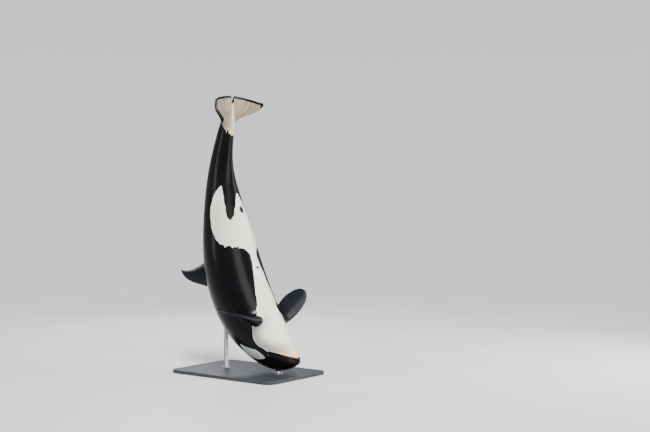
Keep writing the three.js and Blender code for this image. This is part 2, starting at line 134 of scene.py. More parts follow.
# Directions as tailward, outward, towards the back
RIGHT_FLIPPER = {**FLIPPER, "centre": (116, 36), "side": 1,
                 "span": (0.3, 0.865, -0.395), "chord": (-0.925, 0.367, 0.1)}
LEFT_FLIPPER = {**FLIPPER, "centre": (116, 204), "side": -1,
                "span": (0.346, 0.935, -0.081), "chord": (-0.746, 0.221, -0.628)}
FLARE_REACH = 0.017
FOIL_PEAK = 0.385
THIN_POWER = 0.8  # how a fin's thickness falls from root to tip
TIP_POWER = 16  # how late a fin's tip closes
RING_POWER = 1.15  # how a fin's sections crowd towards its root
FILLET_RINGS = 6
CROSSING_REACH = 0.6  # share of a fin's lines that is searched for the skin, and in how many places
CROSSING_TRIES = 61

FLUKE_HALF_SPAN = 0.1245
FLUKE_LEAD = ((0.9, 0.0181), (0.912, 0.0181), (0.9225, 0.0218), (0.931, 0.0298), (0.948, 0.049),
              (0.962, 0.073), (0.974, 0.097), (0.989, 0.116), (1.004, FLUKE_HALF_SPAN))
FLUKE_TRAIL = ((1.0245, 0), (1.0249, 0.008), (1.025, 0.013), (1.0246, 0.02), (1.0221, 0.046),
               (1.018, 0.078), (1.014, 0.1), (1.0106, 0.1165), (1.008, 0.1225), (1.004, FLUKE_HALF_SPAN))
FLUKE_THICKNESS = (0.009, 0.0016)
FLUKE_DROOP = 0.0372  # how far the tips bend towards the belly
FLUKE_DROOP_POWER = 2.6
FLUKE_FLARE = 0.3  # how much thicker the blades get at their roots
FLUKE_ROWS_POWER = 1.4  # how the rows crowd towards the leading edge
FLUKE_EDGE_POWER = 10  # how late the trailing edge closes
NOTCH_DEPTH = 0.021
NOTCH_HALF_WIDTH = 0.0038
FLUKE_PINCH = 0.55  # how closely the columns gather towards the notch
FLUKE_ROOT = 0.35  # share of the flukes' rows in which the tail stock flattens out
FLUKE_ROOT_AWAY = FLUKE_LEAD[2][1]  # where the leading edge has left the tail stock

# Markings: outlines as (share of the length, degrees from the belly), alike on both sides
BELLY_WHITE = (
    (-0.03, -25), (-0.03, 100), (0.02, 100), (0.06, 100), (0.078, 99), (0.084, 95), (0.087, 89),
    (0.09, 84.5), (0.096, 83), (0.107, 83.5), (0.121, 85.5), (0.134, 86.5), (0.148, 82.5),
    (0.161, 78), (0.172, 70), (0.182, 60), (0.186, 50), (0.193, 42),
    (0.203, 39), (0.212, 37), (0.219, 34.5), (0.231, 34), (0.244, 33), (0.269, 28.5), (0.292, 26.5),
    (0.324, 22), (0.352, 18.5), (0.381, 15.5), (0.415, 12), (0.449, 10), (0.469, 14.5), (0.482, 22),
    (0.489, 30.5), (0.496, 47.5), (0.504, 64), (0.514, 72.5), (0.536, 81.5), (0.565, 89), (0.598, 94),
    (0.619, 96.5), (0.642, 94.5), (0.662, 91.5), (0.679, 86.5), (0.701, 74.5), (0.71, 65.5),
    (0.715, 58.5), (0.70, 55), (0.68, 53), (0.658, 52), (0.626, 50), (0.604, 47.5), (0.589, 41),
    (0.598, 33.5), (0.613, 27), (0.65, 17.5), (0.673, 10), (0.686, 0), (0.673, -10), (0.65, -25),
)
EYE_PATCH = (
    (0.184, 122.5), (0.175, 118), (0.165, 115), (0.154, 110.5), (0.143, 106.5), (0.132, 102),
    (0.122, 99.5), (0.105, 99.5), (0.093, 101), (0.087, 104), (0.09, 110), (0.096, 115.5),
    (0.106, 123), (0.118, 129.5), (0.136, 137), (0.155, 138), (0.17, 131.5),
)
SADDLE = (
    (0.478, 200), (0.478, 170), (0.492, 158), (0.512, 148), (0.54, 141), (0.572, 140), (0.6, 146),
    (0.617, 154), (0.6, 158), (0.58, 160), (0.566, 166), (0.575, 176), (0.585, 200),
)
OUTLINE_STEPS = 5  # pieces of curve between two corners of a marking
# Where the tail stock's black gives way to the flukes' white: degrees from the belly, share of the length
TAIL_WHITE_EDGE = ((0, 0.891), (20, 0.891), (35, 0.8935), (47.5, 0.898), (67, 0.905), (84, 0.914),
                   (96, 0.928), (180, 0.96))
# On the right the black of the flank and flipper comes further round: extra degrees by share of the length
RIGHT_BLACK_STATIONS = (0.15, 0.17, 0.2, 0.23, 0.26, 0.295, 0.32, 0.345, 0.373, 0.4, 0.45, 0.48)
RIGHT_BLACK_DEGREES = (0, 6, 20, 16, 6, 4, 4.5, 2, 0, 1, 2, 0)
# Black margins of the flukes' underside, the pairs left and right: metres along the leading and the trailing
# edge, then shares of the length from the middle to the black tips and to the end of the black at the notch
FLUKE_LEAD_MARGINS = (0.052, 0.008)
FLUKE_TRAIL_MARGIN = 0.045
FLUKE_TIPS_FROM = (0.094, 0.115)
NOTCH_BLACK = (0.0035, 0.0085)
# How far out on a flipper the white of its underside ends, left and right
FLIPPER_WHITE_ENDS = (0.8, 0.4)
FLIPPER_METRES = 0.6  # roughly what the way out along a flipper measures
TAIL_WHITE_ROWS = 8  # rows of the net before the flukes that already have the flukes' markings


def deselect():
    bpy.ops.object.select_all(action="DESELECT")


def select_only(piece):
    deselect()
    piece.select_set(True)
    bpy.context.view_layer.objects.active = piece


def name_piece(name):
    piece = bpy.context.object
    piece.name = name
    piece.data.name = name
    return piece


def in_edit_mode(operate):
    bpy.ops.object.mode_set(mode="EDIT")
    operate()
    bpy.ops.object.mode_set(mode="OBJECT")


def unselect_mesh():
    """Clears the choice of vertices, edges and faces, so that it can be made anew from outside edit mode."""
    in_edit_mode(lambda: bpy.ops.mesh.select_all(action="DESELECT"))


def read(items, field, width=1):
    """One row for each vertex, face or value, with the numbers in one of its fields."""
    flat = np.empty(len(items) * width)
    items.foreach_get(field, flat)
    return flat.reshape(-1, width)


def make_camera():
    deselect()
    bpy.ops.object.camera_add(location=CAMERA_PLACE, rotation=(math.pi / 2 - CAMERA_DIP, 0, CAMERA_TURN))
    camera = bpy.context.object
    camera.data.sensor_width = SENSOR_WIDTH
    camera.data.lens = SENSOR_WIDTH * FOCAL_PIXELS / PICTURE_WIDTH
    camera.data.clip_end = CAMERA_REACH
    bpy.context.scene.camera = camera


make_camera()


# Curves and the bent body

def natural_spline(stations, values):
    x = np.array(stations, float)
    y = np.array(values, float)
    steps = np.diff(x)
    system = np.eye(len(x))
    slopes = np.zeros(len(x))
    for i in range(1, len(x) - 1):
        system[i, i - 1:i + 2] = steps[i - 1], 2 * (steps[i - 1] + steps[i]), steps[i]
        slopes[i] = 6 * ((y[i + 1] - y[i]) / steps[i] - (y[i] - y[i - 1]) / steps[i - 1])
    curvature = np.linalg.solve(system, slopes)

    def value(at):
        at = np.asarray(at, float)
        i = np.clip(np.searchsorted(x, at) - 1, 0, len(x) - 2)
        step = steps[i]
        a = (x[i + 1] - at) / step
        b = (at - x[i]) / step
        bow = (a ** 3 - a) * curvature[i] + (b ** 3 - b) * curvature[i + 1]
        return a * y[i] + b * y[i + 1] + bow * step * step / 6
    return value


def smoothstep(x, low, high):
    share = np.clip((x - low) / (high - low), 0, 1)
    return share * share * (3 - 2 * share)


def bump(x, width):
    return np.exp(-((x / width) ** 2))


def mound(p, q, length, width):
    return np.exp(-((p / length) ** 2) - (q / width) ** 2)


def from_belly(degrees):
    """Degrees from the middle of the belly, alike on both sides."""
    return np.minimum(degrees, 360 - degrees)


def curve(before, here, there, after, w):
    """A place between the middle two of four points of a smooth curve."""
    v0 = (there - before) / 2
    v1 = (after - here) / 2
    cubic = 2 * here - 2 * there + v0 + v1
    square = 3 * there - 3 * here - 2 * v0 - v1
    return cubic * w ** 3 + square * w ** 2 + v0 * w + here


PROFILE_STATIONS = np.linspace(0, 1, len(BACK_HEIGHTS))
back_profile = natural_spline(PROFILE_STATIONS, BACK_HEIGHTS)
belly_profile = natural_spline(PROFILE_STATIONS, BELLY_HEIGHTS)
width_profile = natural_spline(PROFILE_STATIONS, HALF_WIDTHS)
lean_profile = natural_spline(LEAN_STATIONS, np.radians(LEAN_DEGREES))


def lean_at(t):
    return lean_profile(np.clip(t, 0, 1))


def make_spine():
    shares = np.arange(round((SPINE_TO - SPINE_FROM) / SPINE_STEP) + 1) * SPINE_STEP + SPINE_FROM
    lean = lean_at(shares[:-1] + SPINE_STEP / 2)
    x = np.concatenate(([0], np.cumsum(-np.sin(lean)))) * SPINE_STEP
    z = np.concatenate(([0], np.cumsum(np.cos(lean)))) * SPINE_STEP
    x -= np.interp(SPINE_MIDDLE, shares, x)
    z -= np.interp(SPINE_MIDDLE, shares, z)
    return shares, x, z


spine_shares, spine_x, spine_z = make_spine()


def bend(t, side, height):
    """Points of the straight animal, in shares of its length, go to their places on the bent one."""
    lean = lean_at(t)
    x = np.interp(t, spine_shares, spine_x) - height * np.cos(lean)
    z = np.interp(t, spine_shares, spine_z) - height * np.sin(lean)
    return np.stack((SPINE_MIDDLE_X + LENGTH * x, LENGTH * side, SPINE_MIDDLE_Z + LENGTH * z), -1)


def unbend(points, guess):
    """The share of the length, side and height of points near the share that is guessed."""
    x = (points[..., 0] - SPINE_MIDDLE_X) / LENGTH
    z = (points[..., 2] - SPINE_MIDDLE_Z) / LENGTH
    t = np.full(x.shape, float(guess))
    for _ in range(UNBEND_STEPS):
        lean = lean_at(t)
        dx = x - np.interp(t, spine_shares, spine_x)
        dz = z - np.interp(t, spine_shares, spine_z)
        t = t + UNBEND_EASE * (dz * np.cos(lean) - dx * np.sin(lean))
    return t, points[..., 1] / LENGTH, -(dx * np.cos(lean) + dz * np.sin(lean))


def section_sizes(t):
    root = np.sqrt(np.clip(t, 0, None))
    close = 1 - TAIL_CLOSE * smoothstep(t, TAIL_CLOSE_START, 1)
    back = back_profile(root) * close
    belly = belly_profile(root) * close
    return width_profile(root) * close, (back + belly) / 2, (back - belly) / 2


def section_point(t, angle):
    half_width, middle, half_height = section_sizes(t)
    pinch = 1 - KEEL_PINCH * smoothstep(t, KEEL_START, KEEL_END) * np.cos(angle) ** 2
    return half_width * np.sin(angle) * pinch, middle - half_height * np.cos(angle)


def skin_point(t, angle):
    side, height = section_point(t, angle)
    return bend(t, side, height)


def unit(vectors):
    return vectors / np.maximum(np.linalg.norm(vectors, axis=-1, keepdims=True), 1e-12)


def skin_axes(t, angle):
    """Tailward, round the body and outwards, at places on the skin."""
    step = 0.002
    root = np.sqrt(np.clip(t, 0, None))
    near = np.maximum(root - step, 1e-4)
    tailward = unit(skin_point((root + step) ** 2, angle) - skin_point(near ** 2, angle))
    here = np.maximum(t, 1e-7)
    around = unit(skin_point(here, angle + step) - skin_point(here, angle - step))
    return tailward, around, unit(np.cross(around, tailward))


def mouth_height(t):
    """Height of the line of the shut mouth, as a share of the length."""
    return -0.0415 + 0.24 * t + 1.1 * t * t


# The net of the skin: rows and columns to shares of the length and angles

def head_stations():
    """Shares of the length of the head's rows, evenly spaced along the skin."""
    fine = np.linspace(0, math.sqrt(HEAD_END), 400) ** 2
    lengths = np.zeros(len(fine))
    for angle in np.radians((0, 60, 120, 180)):
        steps = np.linalg.norm(np.diff(skin_point(fine, angle), axis=0), axis=1)
        lengths[1:] += np.cumsum(steps)
    return np.interp(np.linspace(0, lengths[-1], HEAD_ROWS + 1), lengths, fine)


STATION_ROWS = list(range(HEAD_ROWS + 1)) + [row for row, _ in ROW_KNOTS]
STATIONS = list(head_stations()) + [share for _, share in ROW_KNOTS]


def station_of(row):
    return np.interp(row, STATION_ROWS, STATIONS)


def angle_of(row, column):
    knots = np.interp(column, [c for c, _ in COLUMN_KNOTS], [a for _, a in COLUMN_KNOTS])
    even = smoothstep(station_of(row), EVEN_FROM, EVEN_TO)
    return np.radians(knots * (1 - even) + column * (360 / COLUMNS) * even)


# Fins

def catmull_rom(points, share):
    p = np.array(points, float)
    place = np.clip(share, 0, 1) * (len(p) - 1)
    i = np.clip(np.floor(place).astype(int), 0, len(p) - 2)
    w = (place - i)[..., None]
    return curve(p[np.maximum(i - 1, 0)], p[i], p[i + 1], p[np.minimum(i + 2, len(p) - 1)], w)


def foil(share):
    return np.sqrt(np.clip(share, 0, 1)) * (1 - share) / FOIL_PEAK


def dorsal_place(along, away, offset):
    return bend(along, offset, away)


def flipper_axes(fin):
    lean = float(lean_at(FLIPPER_STATION))
    basis = np.array(((-math.sin(lean), 0, math.cos(lean)), (0, fin["side"], 0),
                      (-math.cos(lean), 0, -math.sin(lean))))
    span = unit(np.array(fin["span"]) @ basis)
    chord = unit(np.array(fin["chord"]) @ basis)
    return span, chord, unit(np.cross(span, chord))


def flipper_place(fin):
    span, chord, across = flipper_axes(fin)
    base = skin_point(np.array(FLIPPER_STATION), np.array(fin["side"] * math.radians(FLIPPER_ANGLE)))

    def place(along, away, offset):
        in_plan = along[..., None] * chord + away[..., None] * span
        return base + LENGTH * (in_plan + offset[..., None] * across)
    return place


def fin_point(fin, place, share, turn):
    """A point of a fin: share from root to tip, turn round its section from the leading edge."""
    front = catmull_rom(fin["lead"], share)
    rear = catmull_rom(fin["trail"], share)
    along = (1 - np.cos(turn)) / 2
    away = np.maximum(0, (front[..., 1] + rear[..., 1]) / 2 - fin["level"])
    flare = 1 + fin["flare"] * np.exp(-away / FLARE_REACH)
    thick, thin = fin["thickness"]
    closing = np.sqrt(1 - np.clip(share, 0, 1) ** TIP_POWER)
    half = (thick + (thin - thick) * share ** THIN_POWER) * flare * closing
    plan = front + (rear - front) * along[..., None]
    return place(plan[..., 0], plan[..., 1], np.sign(np.sin(turn)) * foil(along) * half)


def ring_angle(rows, columns):
    """Angle round a square ring of the net, 0 towards the head and 90 degrees towards rising columns."""
    size = np.maximum(np.maximum(np.abs(rows), np.abs(columns)), 1e-9)
    r = rows / size
    c = columns / size
    quarter = math.pi / 4
    front = quarter * c
    rear = math.pi - quarter * c
    sides = np.sign(c) * (2 * quarter + quarter * r)
    return np.where(np.abs(r) >= np.abs(c), np.where(r < 0, front, rear), sides)


def crossing(fin, place, turn, guess):
    """Where each line of a fin comes out of the skin: its share, and the skin's station and angle there."""
    shares = np.linspace(0, CROSSING_REACH, CROSSING_TRIES)
    tries = np.zeros((len(turn), CROSSING_TRIES))
    t, side, height = unbend(fin_point(fin, place, tries + shares, tries + turn[:, None]), guess)
    half_width, middle, half_height = section_sizes(t)
    outside = (side / half_width) ** 2 + ((height - middle) / half_height) ** 2 - 1
    first = np.maximum(np.argmax(outside > 0, axis=1), 1)
    lines = np.arange(len(turn))
    low = outside[lines, first - 1]
    high = outside[lines, first]
    weight = np.clip(-low / (high - low), 0, 1)
    share = shares[first - 1] + weight * (shares[1] - shares[0])
    t, side, height = unbend(fin_point(fin, place, share, turn), guess)
    half_width, middle, half_height = section_sizes(t)
    angle = np.arctan2(side / half_width, (middle - height) / half_height) % (2 * math.pi)
    return share, t, angle


def grow_fin(points, rows, columns, fin, place, phase, sense):
    """Pulls a square of the net out into a fin: its rings become the fin's sections, with a fillet first."""
    centre_row, centre_column = fin["centre"]
    r = (rows - centre_row) / fin["reach"]
    c = (columns - centre_column) / fin["reach"]
    ring = np.maximum(np.abs(r), np.abs(c))
    chosen = ring < 1 - 1e-6
    r, c, ring = r[chosen], c[chosen], np.maximum(ring[chosen], 1e-6)
    around = ring_angle(r, c)
    turn = sense * (around - phase)
    root, root_t, root_angle = crossing(fin, place, turn, station_of(centre_row))
    edge_row = centre_row + fin["reach"] * r / ring
    edge_column = centre_column + fin["reach"] * c / ring
    edge_t = station_of(edge_row)
    edge_angle = angle_of(edge_row, edge_column)
    fillet_ring = 1 - FILLET_RINGS / fin["reach"]
    rise = np.clip((1 - ring) / (1 - fillet_ring), 0, 1)
    skin_t = edge_t + (root_t - edge_t) * rise
    skin_angle = edge_angle + (root_angle - edge_angle) * rise
    on_skin = skin_point(skin_t, skin_angle)
    reach_out = np.clip(1 - ring / fillet_ring, 0, 1)
    start = root + fin["fillet"] * rise
    share = start + (1 - start) * reach_out ** RING_POWER
    on_fin = fin_point(fin, place, share, turn)
    fin_share = smoothstep(rise, 0, 1)[:, None]
    points[chosen] = on_skin * (1 - fin_share) + on_fin * fin_share
    return chosen, rise + reach_out, skin_t, skin_angle


def flipper_phase(fin):
    """Angle of a flipper's leading edge round its root, and which way its section turns."""
    angle = np.array(fin["side"] * math.radians(FLIPPER_ANGLE))
    tailward, around, _ = skin_axes(np.array(FLIPPER_STATION), angle)
    _, chord, across = flipper_axes(fin)
    phase = math.atan2(chord @ around, -(chord @ tailward))
    sense = np.sign(across @ (math.sin(phase) * tailward + math.cos(phase) * around))
    return phase, sense


def grow_fins(points, rows, columns, t, angle):
    """Grows the three fins. Gives how far out on one each point is, and its place in the body's markings."""
    fins = np.zeros(len(t))
    mark_t = t.copy()
    mark_angle = angle.copy()
    jobs = [(DORSAL, dorsal_place, 0, -1)]
    for fin in (RIGHT_FLIPPER, LEFT_FLIPPER):
        jobs.append((fin, flipper_place(fin), *flipper_phase(fin)))
    for job in jobs:
        grown, share, skin_t, skin_angle = grow_fin(points, rows, columns, *job)
        fins[grown] = share
        mark_t[grown] = skin_t
        mark_angle[grown] = skin_angle
    return fins, mark_t, mark_angle


# Flukes: the net runs on from the tail stock to the trailing edge

def path_splines(points):
    p = np.array(points, float)
    lengths = np.concatenate(([0], np.cumsum(np.linalg.norm(np.diff(p, axis=0), axis=1))))
    share = lengths / lengths[-1]
    return natural_spline(share, p[:, 0]), natural_spline(share, p[:, 1])


lead_x, lead_y = path_splines(FLUKE_LEAD)
trail_straight = natural_spline([a for _, a in FLUKE_TRAIL], [x for x, _ in FLUKE_TRAIL])
lead_of_span = natural_spline([a for _, a in FLUKE_LEAD[2:]], [x for x, _ in FLUKE_LEAD[2:]])
TIP_X, TIP_Y = FLUKE_LEAD[-1]


def trail_x(away):
    return trail_straight(away) - NOTCH_DEPTH * bump(away, NOTCH_HALF_WIDTH)


def fluke_plan(progress, angle):
    """Share of the length and sideways share of the net's points on the tail's end."""
    root = smoothstep(progress, 0, FLUKE_ROOT)
    pinch = KEEL_PINCH + (FLUKE_PINCH - KEEL_PINCH) * root
    lateral = np.sin(angle) * (1 - pinch * np.cos(angle) ** 2)
    along = lead_x(progress) + progress ** FLUKE_ROWS_POWER * (trail_x(np.abs(lateral) * TIP_Y) - TIP_X)
    return along, lateral * lead_y(progress)


def fluke_height(progress, angle, along, side):
    """Height of the flukes' upper or lower side: the tail stock's half height melts into the blades'."""
    root = smoothstep(progress, 0, FLUKE_ROOT)
    away = np.abs(side)
    half_width, middle, half_height = section_sizes(along)
    wide = np.minimum(half_width * (1 + 0.9 * root), lead_y(progress))
    across = np.clip(np.abs(np.sin(angle)) * (1 - root) + away / wide * root, 0, 1)
    trunk = half_height * (1 - across ** 2) ** (0.5 + 1.3 * root)
    front = lead_of_span(np.maximum(away, FLUKE_ROOT_AWAY))
    chord = np.maximum(trail_x(away) - front, 0.001)
    chord_share = np.clip((along - front) / chord, 0, 1)
    thick, thin = FLUKE_THICKNESS
    span = np.clip(away / TIP_Y, 0, 1)
    flare = 1 + FLUKE_FLARE * np.exp(-np.maximum(away - 0.008, 0) / FLARE_REACH)
    blade = foil(chord_share) * (thick + (thin - thick) * span ** THIN_POWER) * flare
    blade = blade * smoothstep(progress, 0.1, 0.3)
    # The larger of the two, with a soft fillet where they cross
    half = (blade + trunk + np.sqrt((blade - trunk) ** 2 + 0.25 * blade * trunk)) / 2
    half = half * np.sqrt(np.clip(1 - progress ** FLUKE_EDGE_POWER, 0, 1))
    droop = FLUKE_DROOP * span ** FLUKE_DROOP_POWER
    centre = middle * (1 - 0.6 * smoothstep(progress, 0.2, 1)) - droop * smoothstep(along, 0.9, 0.93)
    return centre - np.sign(np.cos(angle)) * half


def fluke_point(progress, angle):
    along, side = fluke_plan(progress, angle)
    return bend(along, side, fluke_height(progress, angle, along, side)), along, side


# Relief of the skin: mouth, lids, blowhole and small hollows, in metres along the outward direction. From the
# middle of each, p runs towards the tail and q round the body towards the back.

def local_places(points, t, degrees, mirror=1):
    """Distances tailward and round the body, towards the back, from a place on the skin.

    Points on the far side of the body are sent well away, so that nothing is repeated there.
    """
    angle = np.array(mirror * math.radians(degrees))
    tailward, around, out = skin_axes(np.array(t), angle)
    offset = points - skin_point(np.array(t), angle)
    far_side = 9 * (offset @ out < -FAR_SIDE_DEPTH)
    backward = mirror * (offset @ around)
    return offset @ tailward + far_side, backward, np.linalg.norm(offset, axis=-1)


def mouth_relief(t, height):
    """The line of the mouth between two lips, with a furrow above and one below them."""
    gap = (height - mouth_height(t)) * LENGTH
    closed = 1 - smoothstep(t, MOUTH_CORNER - 0.004, MOUTH_CORNER + 0.002)
    lips = closed * smoothstep(t, -0.01, 0.002)
    relief = -0.011 * bump(gap, 0.0045) * closed
    relief += 0.0055 * bump(gap - 0.017, 0.011) * lips
    relief += 0.0045 * bump(gap + 0.016, 0.011) * lips
    relief -= 0.003 * bump(gap - 0.046, 0.014) * lips * (1 - smoothstep(t, 0.03, 0.07))
    relief -= 0.0015 * bump(gap + 0.04, 0.011) * lips
    return relief


def corner_relief(points):
    """The mouth's line turns down behind its corner, with a soft cheek fold."""
    relief = np.zeros(len(points))
    for mirror in (1, -1):
        tailward, backward, _ = local_places(points, MOUTH_CORNER, CHEEK_ANGLE, mirror)
        fold = tailward + 0.006 - 1.6 * (backward + 0.01) ** 2 / 0.06
        reach = bump(backward + 0.03, 0.03)
        relief -= 0.005 * bump(fold, 0.007) * reach
        relief += 0.004 * bump(fold - 0.018, 0.012) * reach
    return relief


def eye_relief(points):
    """A low swelling with the lids on it, creases round them and a hollow for the eyeball."""
    relief = np.zeros(len(points))
    for mirror in (1, -1):
        p, q, _ = local_places(points, EYE_STATION, EYE_ANGLE, mirror)
        q = q - 0.12 * p
        opening = np.hypot(p / 0.0255, q / (0.0145 - 0.0015 * np.sign(-q)))
        crease = np.hypot(p / 0.042, (q - 0.001) / 0.027)
        upper = smoothstep(q, -0.006, 0.008)
        near = smoothstep(-np.hypot(p, q), -0.2, -0.12)
        relief += near * 0.0095 * mound(p, q, 0.075, 0.056)
        relief += 0.0058 * bump(opening - 1.24, 0.3) * near
        relief -= 0.003 * bump(crease - 1, 0.13) * (0.45 + 0.55 * upper) * near
        relief -= 0.0016 * bump(np.hypot(p / 0.062, q / 0.043) - 1, 0.1) * upper * near
        relief -= 0.0012 * bump(np.hypot(p / 0.06, q / 0.045) - 1, 0.09) * (1 - upper) * near
        relief -= 0.0265 * (1 - smoothstep(opening, 0.74, 1.07))
    return relief


def blowhole_relief(points):
    """A mound with a shut slit, curved forwards at its ends, and a rim before and behind it."""
    p, q, _ = local_places(points, BLOWHOLE_STATION, 180)
    share = q / 0.048
    centre = -0.02 * np.minimum(np.abs(share), 1.1) ** 2
    beyond = np.maximum(np.abs(q) - 0.044, 0)
    slit = np.hypot(p - centre, beyond)
    relief = 0.0095 * mound(p, q, 0.075, 0.068)
    relief -= 0.017 * bump(slit, 0.0062)
    relief += 0.0042 * bump(np.hypot(p - centre + 0.016, beyond), 0.009)
    relief += 0.0034 * bump(np.hypot(p - centre - 0.018, beyond), 0.01)
    relief -= 0.001 * bump(np.hypot(p / 0.072, q / 0.082) - 1, 0.2)
    return relief


def small_relief(points):
    """Ear holes, navel, and the slit of the belly with a shorter one to each side."""
    relief = np.zeros(len(points))
    for mirror in (1, -1):
        p, q, _ = local_places(points, EAR_STATION, EAR_ANGLE, mirror)
        relief -= 0.005 * mound(p, q, 0.008, 0.006)
        p, q, _ = local_places(points, SIDE_SLIT_STATION, SIDE_SLIT_ANGLE, mirror)
        relief -= 0.006 * mound(p, q, 0.032, 0.0055)
    p, q, _ = local_places(points, NAVEL_STATION, 0)
    relief -= 0.011 * mound(p, q, 0.02, 0.013)
    relief += 0.003 * mound(p, q, 0.045, 0.036)
    p, q, _ = local_places(points, SLIT_STATION, 0)
    opening = 0.009 + 0.009 * bump(p, 0.045)
    relief -= 0.016 * np.exp(-((p / 0.11) ** 4) - (q / opening) ** 2)
    relief += 0.006 * np.exp(-((p / 0.13) ** 4) - ((np.abs(q) - 2.2 * opening) / 0.02) ** 2)
    return relief


def neck_relief(t, angle):
    """Faint folds under the throat and behind the flippers, and the hollow of the nape."""
    belly = smoothstep(np.cos(angle), 0.1, 0.9)
    relief = np.zeros(len(t))
    for station, depth, width in NECK_FOLDS:
        sweep = station + 0.02 * np.sin(angle / 2) ** 2
        relief -= depth * bump(t - sweep, width) * belly
    back = smoothstep(-np.cos(angle), 0.2, 0.9)
    relief -= 0.006 * bump(t - 0.168, 0.018) * back
    return relief


def relief_of(points, t, angle, height):
    relief = mouth_relief(t, height) + corner_relief(points) + eye_relief(points)
    return relief + blowhole_relief(points) + small_relief(points) + neck_relief(t, angle)


# Making the skin

def body_places(rows, columns):
    """Points on the plain body, with the share of the length, angle and height of each."""
    t = station_of(rows)
    angle = angle_of(rows, columns)
    side, height = section_point(t, angle)
    return bend(t, side, height), t, angle, height


# For each round of refinement, how near to a detail the faces are cut, in metres
REFINEMENT = (
    {"mouth": 0.045, "eye": 0.115, "corner": 0.07, "blowhole": 0.115, "dot": 0.03},
    {"mouth": 0.02, "eye": 0.075, "corner": 0.045, "blowhole": 0.085, "dot": 0.024},
)


def net_places(items, field):
    """The rows and columns of the flat net's vertices or faces."""
    flat = read(items, field, 3)
    return flat[:, 1] * ROWS, flat[:, 0] * COLUMNS


def refine(net):
    """Cuts the net's faces near the mouth, eyes, blowhole and small hollows into finer ones."""
    for limits in REFINEMENT:
        rows, columns = net_places(net.data.polygons, "center")
        points, t, _, height = body_places(rows, columns)
        gap = np.abs(height - mouth_height(t)) * LENGTH
        chosen = (gap < limits["mouth"]) & (t < MOUTH_CORNER + 0.006)
        for mirror in (1, -1):
            chosen |= local_places(points, EYE_STATION, EYE_ANGLE, mirror)[2] < limits["eye"]
            chosen |= local_places(points, MOUTH_CORNER, CORNER_ANGLE, mirror)[2] < limits["corner"]
            chosen |= local_places(points, EAR_STATION, EAR_ANGLE, mirror)[2] < limits["dot"]
        chosen |= local_places(points, BLOWHOLE_STATION, 180)[2] < limits["blowhole"]
        chosen |= local_places(points, NAVEL_STATION, 0)[2] < 2 * limits["dot"]
        p, q, _ = local_places(points, SLIT_STATION, 0)
        chosen |= (np.abs(p) < 0.17) & (np.abs(q) < 2.4 * limits["dot"])
        chosen &= rows < FLUKE_ROW
        net.data.polygons.foreach_set("select", chosen)
        in_edit_mode(lambda: bpy.ops.mesh.subdivide(number_cuts=1))


def make_net():
    """A flat square net, 1 m wide, whose faces are finer where the skin has its details."""
    deselect()
    bpy.ops.mesh.primitive_grid_add(x_subdivisions=COLUMNS, y_subdivisions=ROWS, size=1,
                                    location=(0.5, 0.5, 0))
    net = name_piece("orca_skin")
    bpy.ops.object.transform_apply(location=True)
    bpy.context.tool_settings.mesh_select_mode = (False, False, True)
    unselect_mesh()
    refine(net)
    return net


def rounded(outline):
    """The corners of a marking joined by smooth curves."""
    corners = np.array(outline, float)
    ring = np.vstack((corners[-1:], corners, corners[:2]))
    steps = np.arange(OUTLINE_STEPS) / OUTLINE_STEPS
    return np.array([curve(*ring[i:i + 4], w) for i in range(len(corners)) for w in steps])


def outline_distance(t, degrees, outline):
    """Distance in metres from the edge of a marking, positive inside it."""
    fine = rounded(outline)
    half_width, _, half_height = section_sizes(np.clip(t, 1e-4, 1))
    radius = (half_width + half_height) / 2 * LENGTH * math.radians(1)
    nearest = np.full(len(t), 1e9)
    inside = np.zeros(len(t), bool)
    for (t0, a0), (t1, a1) in zip(fine, np.roll(fine, -1, axis=0)):
        along = (t1 - t0) * LENGTH
        across = (a1 - a0) * radius
        u = (t - t0) * LENGTH
        v = (degrees - a0) * radius
        w = np.clip((u * along + v * across) / np.maximum(along ** 2 + across ** 2, 1e-12), 0, 1)
        nearest = np.minimum(nearest, np.hypot(u - w * along, v - w * across))
        if a0 != a1:
            meets = (a0 > degrees) != (a1 > degrees)
            inside ^= meets & (t < t0 + (degrees - a0) * (t1 - t0) / (a1 - a0))
    return np.where(inside, nearest, -nearest)


def save_attribute(net, name, values):
    layer = net.data.attributes.new(name, "FLOAT", "POINT")
    layer.data.foreach_set("value", np.asarray(values, np.float32))


def paint_body(t, angle):
    """Distances inside the white, the eye patch and the saddle, in metres and below 0 outside them."""
    height = section_point(t, angle)[1]
    degrees = np.degrees(angle)
    folded = from_belly(degrees)
    right = (degrees < 180) & (folded > 5)
    extra = np.interp(t, RIGHT_BLACK_STATIONS, RIGHT_BLACK_DEGREES) * right * smoothstep(folded, 5, 15)
    white = outline_distance(t, folded + extra, BELLY_WHITE)
    behind_mouth = 0.3 * smoothstep(t, MOUTH_CORNER - 0.002, 0.105)
    under_mouth = (mouth_height(t) - height) * LENGTH - 0.004 + behind_mouth
    white = np.minimum(white, under_mouth)
    return white, outline_distance(t, folded, EYE_PATCH), outline_distance(t, folded, SADDLE)


